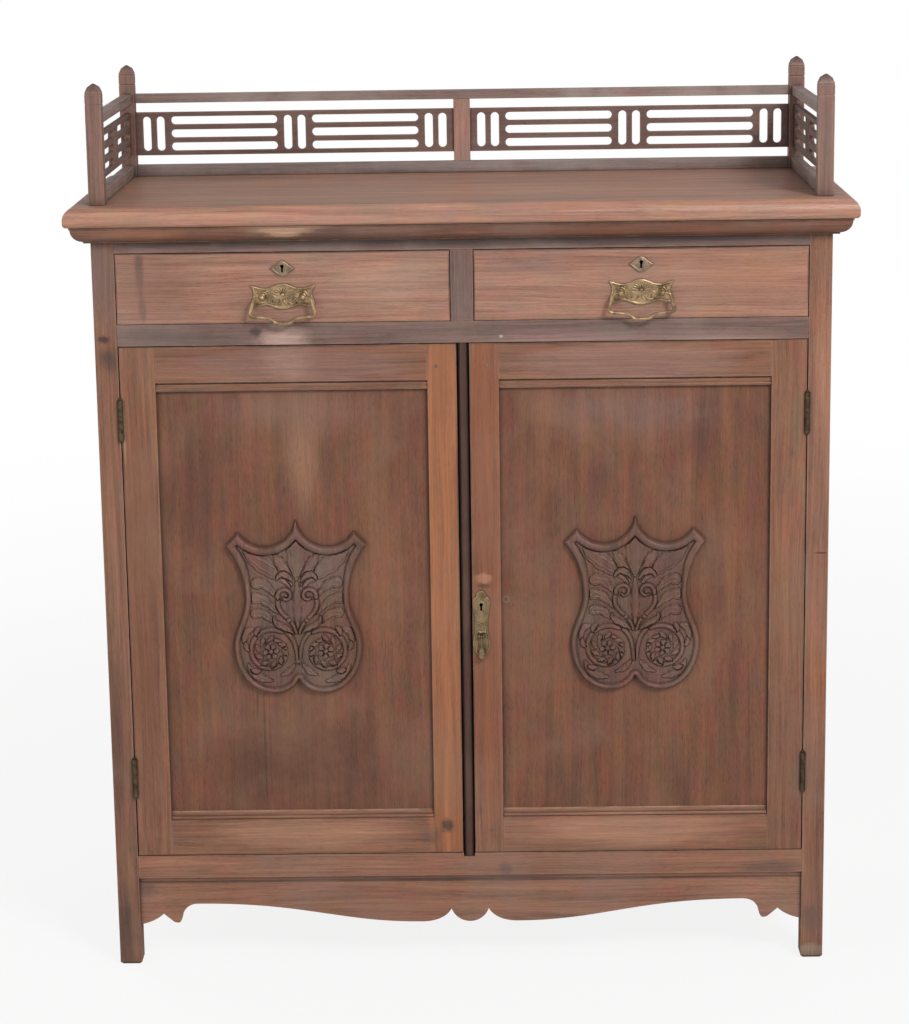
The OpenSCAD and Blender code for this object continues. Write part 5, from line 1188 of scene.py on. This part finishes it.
# %% Run the beads
BEAD_RADIUS, BEAD_SIDES = 2.4, 16
BEAD_Y, BEAD_Z, BEAD_INSET = -195.9, 240.6, 9
for side in SIDES:
    low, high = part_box(side + "_door_panel")
    ends = [(x, BEAD_Y * MM, BEAD_Z * MM) for x in (low.x + BEAD_INSET * MM, high.x - BEAD_INSET * MM)]
    piece = grown(side + "_door_bead", wire_tree, ends, [(0, 1)], "thick", np.full(2, BEAD_RADIUS * MM),
                  {"Sides": BEAD_SIDES, "Material": door_frame_wood})
    lay_grain(piece.data, piece.name)
    place_piece(piece, door_frame_wood, "door_frame_wood", side + "_door")
    print(piece.name, round((high.x - low.x) / MM - 2 * BEAD_INSET, 1), "mm long")

# %% [markdown]
# A screw's head is a flat dome with a slot; a nearly black block on the slot's floor is dirt and painted
# shade. A nail or a pin has no slot. The heads turn about their own axis by a random angle, because nobody
# lines up the slots.

# %% Tree: fixings
SLOT_LENGTH, SLOT_WIDTH, SLOT_DIRT_AND_SHADE_SIZE = 2.4, 0.26, (1.7, 0.25, 0.3)
fixing_tree, given, made = geometry_tree("fixings", {
    "Radius": "Float", "Height": "Float", "Slotted": "Bool", "Slot Depth": "Float", "Seed": "Int",
    "Material": "Material", "Slot Material": "Material"})


def step(kind, inputs, output=0, **settings):
    """One more node of the fixings' tree."""
    return wire(fixing_tree, kind, inputs, output, **settings)


ball = step("GeometryNodeMeshUVSphere", {"Segments": 18, "Rings": 8, "Radius": 1.0})
slot_size = step("ShaderNodeCombineXYZ", {0: SLOT_LENGTH, 1: SLOT_WIDTH, 2: given["Slot Depth"] * 2})
cutter = step("GeometryNodeMeshCube", {"Size": slot_size})
cutter = step("GeometryNodeTransform", {"Geometry": cutter, "Translation": (0, 0, 1)})
cut = step("GeometryNodeMeshBoolean", {"Mesh 1": ball, "Mesh 2": cutter}, operation="DIFFERENCE")
cut = step("GeometryNodeSetMaterial", {"Geometry": cut, "Material": given["Material"]})
# a nearly black block on the slot's floor: dirt and painted shade
dirt_and_shade_place = step("ShaderNodeCombineXYZ", {2: 1.1 - given["Slot Depth"]})
dirt_and_shade = step("GeometryNodeMeshCube", {"Size": SLOT_DIRT_AND_SHADE_SIZE})
dirt_and_shade = step("GeometryNodeTransform", {"Geometry": dirt_and_shade, "Translation": dirt_and_shade_place})
dirt_and_shade = step("GeometryNodeSetMaterial", {"Geometry": dirt_and_shade, "Material": given["Slot Material"]})
joined = add(fixing_tree, "GeometryNodeJoinGeometry")
dirt_and_shade.to(joined.inputs[0])
cut.to(joined.inputs[0])
plain = step("GeometryNodeSetMaterial", {"Geometry": ball, "Material": given["Material"]})
screw = Wire(joined.outputs[0])
head = step("GeometryNodeSwitch", {"Switch": given["Slotted"], "False": plain, "True": screw},
            input_type="GEOMETRY")
stretch = step("ShaderNodeCombineXYZ", {0: given["Radius"], 1: given["Radius"], 2: given["Height"]})
head = step("GeometryNodeTransform", {"Geometry": head, "Scale": stretch})
facing = step("GeometryNodeInputNamedAttribute", {"Name": "facing"}, data_type="FLOAT_VECTOR")
aim = step("FunctionNodeAlignRotationToVector", {"Vector": facing}, axis="Z")
spin = step("FunctionNodeRandomValue", {3: tau, "Seed": given["Seed"]}, 1, data_type="FLOAT")
spin = step("FunctionNodeAxisAngleToRotation", {"Axis": (0, 0, 1), "Angle": spin})
aim = step("FunctionNodeRotateRotation", {"Rotation": aim, "Rotate By": spin}, rotation_space="LOCAL")
heads = step("GeometryNodeInstanceOnPoints", {"Points": given["Geometry"], "Instance": head, "Rotation": aim})
step("GeometryNodeRealizeInstances", {"Geometry": heads}).to(made["Geometry"])
print("tree", fixing_tree.name, "has", len(fixing_tree.nodes), "nodes")

# %% [markdown]
# The places of the fixings follow from the boxes of what they hold: four screws at the corners of a lock,
# three in a hinge leaf, pins at the tips of an escutcheon, three nails through a drawer's bottom into its
# back. The hinges close on each other with a fifth of a millimetre between them, so that their screws lie
# almost flush.

# %% Drive the fixings
TO_FRONT, TO_BACK, DOWN = (0, -1, 0), (0, 1, 0), (0, 0, -1)
SLOT_DEPTH = 0.7
LOCK_INSET, PIN_HALF_SPAN, PIN_Y, PIN_Z, NAIL_Y = 5, 14.5, PLATE_FACE_Y / MM - 0.6, 1095.8, 190.5
HINGE_FEET, SCREW_RISES, SCREW_Y, SCREW_STAGGER = (275, 838), (11, 31, 51), -186, 4
LEAF_FACES = (("door", 515.15, 1), ("case", 515.35, -1))  # owner, distance from the middle, way of facing
BOLT_PLATE_SCREWS = [(x, -173.9, z) for x in (-45.5, -29.5) for z in (933, 975)]
LOCK_PLATE_PINS = [(x, -199.6, z) for x, z in ((15, 556), (31, 563), (15.5, 540), (30.5, 505), (15.5, 505))]
PEG_Y, PEG_Z, PEG_X = -197.6, (946, 216), {"left": -40.1, "right": 34.7}
# the colour of the block in a screw's slot: dirt and painted shade
slot_dirt, _, slot_shader = new_material("slot_dirt")
fill(slot_shader, {"Base Color": paint(24, 19, 16), "Roughness": 0.9})
driven = []


def fix(name, body, places, facing, radius, height, slotted=True, material=dull_brass):
    """Drives heads at places (millimetres) that all face one way."""
    points = [[v * MM for v in place] for place in places]
    piece = grown(name, fixing_tree, points, [], "facing", [facing] * len(places), {
        "Radius": radius * MM, "Height": height * MM, "Slotted": slotted, "Slot Depth": SLOT_DEPTH,
        "Seed": crc32(name.encode()) % 1000, "Material": material, "Slot Material": slot_dirt})
    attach(piece, body)
    driven.extend(places)


def fix_lock(name, body, lock):
    """Four screws near the corners of a lock's back."""
    low, high = box_mm(lock)
    places = [(x, high.y, z) for x in (low.x + LOCK_INSET, high.x - LOCK_INSET)
              for z in (low.z + LOCK_INSET, high.z - LOCK_INSET)]
    fix(name, body, places, TO_BACK, 3.0, 0.9)


for side, sign in zip(SIDES, (-1, 1)):
    door, drawer = side + "_door", side + "_drawer"
    fix_lock(side + "_lock_screws", drawer, drawer + "_lock")
    low, high = box_mm(drawer + "_lock")
    middle = (low.x + high.x) / 2
    tips = [(x, PIN_Y, PIN_Z) for x in (middle - PIN_HALF_SPAN, middle + PIN_HALF_SPAN)]
    fix(side + "_scutcheon_pins", drawer, tips, TO_FRONT, 1.1, 0.8, False, handle_brass)
    low, high = box_mm(drawer + "_bottom")
    places = [(low.x + (high.x - low.x) * share, NAIL_Y, low.z) for share in (0.2, 0.5, 0.8)]
    fix(side + "_bottom_nails", drawer, places, DOWN, 2.2, 0.5, False)
    screw_z = [foot + rise for foot in HINGE_FEET for rise in SCREW_RISES]
    for owner, face_x, way in LEAF_FACES:
        places = [(sign * face_x, SCREW_Y - SCREW_STAGGER * (n % 2), z) for n, z in enumerate(screw_z)]
        body = door if owner == "door" else "carcass"
        fix(f"{side}_{owner}_hinge_screws", body, places, (way * sign, 0, 0), 2.8, 0.08)
fix("bolt_plate_screws", "left_door", BOLT_PLATE_SCREWS, TO_BACK, 1.9, 0.6)
fix_lock("door_lock_screws", "right_door", "door_lock")
fix("lock_plate_pins", "right_door", LOCK_PLATE_PINS, TO_FRONT, 1.3, 0.9, False, plate_brass)
for side in SIDES:
    places = [(PEG_X[side], PEG_Y, z) for z in PEG_Z]
    fix(side + "_door_pegs", side + "_door", places, TO_FRONT, 3.0, 0.35, False, peg_wood)
print(len(driven), "screws, nails, pins and pegs")

# %% [markdown]
# ## Floor and light
# The cabinet stands on a pale floor in soft studio light: a large lamp at its right and above, a weaker one
# from the left, one from behind, and an even sky. Seen straight by the camera, sky and floor are nearly
# white; the floor keeps the cabinet's shadow.

# %% Floor, lamps and sky
FLOOR_REACH, FLOOR_CELLS = 60.0, 8
WHITE = (1, 1, 1, 1)


def seen_straight(tree):
    """1 for what the camera sees directly or through something clear, else 0."""
    paths = wires(add(tree, "ShaderNodeLightPath"))
    return maths("MAXIMUM", paths["Is Camera Ray"], paths["Is Transmission Ray"])


floor_mesh = bpy.data.meshes.new("studio_floor")
with editing(floor_mesh) as form:
    bmesh.ops.create_grid(form, x_segments=FLOOR_CELLS, y_segments=FLOOR_CELLS, size=FLOOR_REACH)
floor_paint, tree, _ = new_material("studio_floor_paint")
tree.nodes.clear()
matt = wire(tree, "ShaderNodeBsdfDiffuse", {"Color": (0.84, 0.83, 0.82, 1)})
white = wire(tree, "ShaderNodeEmission", {"Color": WHITE, "Strength": 1.0})
from_middle = maths("LENGTH", wire(tree, "ShaderNodeTexCoord", output="Object"))
own_glow = seen_straight(tree) * between(from_middle, 1.0, 4.5, 0.86, 1.0)
shine = wire(tree, "ShaderNodeMixShader", {0: own_glow, 1: matt, 2: white})
add(tree, "ShaderNodeOutputMaterial", {"Surface": shine})
floor_mesh.materials.append(floor_paint)
new_piece("studio_floor", floor_mesh)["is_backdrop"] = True


def lamp(name, place, target, size, power):
    """A square soft lamp that looks at a target."""
    data = bpy.data.lights.new(name, "AREA")
    data.size = size
    data.energy = power
    one = new_piece(name, data)
    one.location = place
    one.rotation_euler = (Vector(target) - Vector(place)).to_track_quat("-Z", "Y").to_euler()


lamp("key_lamp", (1.9, -3.3, 3.5), (0, 0, 0.75), 1.1, 112)
lamp("fill_lamp", (-2.6, -2.8, 1.6), (0, 0, 0.7), 2.0, 22)
lamp("back_lamp", (-3.0, 2.8, 1.6), (0, 0, 0.7), 2.0, 40)
SKY_LIGHT = 0.37
sky = bpy.data.worlds.new("studio_sky")
scene.world = sky
sky.use_nodes = True
sky.node_tree.nodes.clear()
glow = seen_straight(sky.node_tree) * (1 - SKY_LIGHT) + SKY_LIGHT
background = wire(sky.node_tree, "ShaderNodeBackground", {"Color": WHITE, "Strength": glow})
add(sky.node_tree, "ShaderNodeOutputWorld", {"Surface": background})
scene.view_settings.view_transform = "Standard"

# %% [markdown]
# ## Measure and finish
# The dressed cabinet has to fill the same box as its solids. Both boxes are written down before the last
# line.

# %% Write the sizes and finish
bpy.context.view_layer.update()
print("boxes:", [tuple(round(v, 4) for v in c) for c in (*cad_box, *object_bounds())])
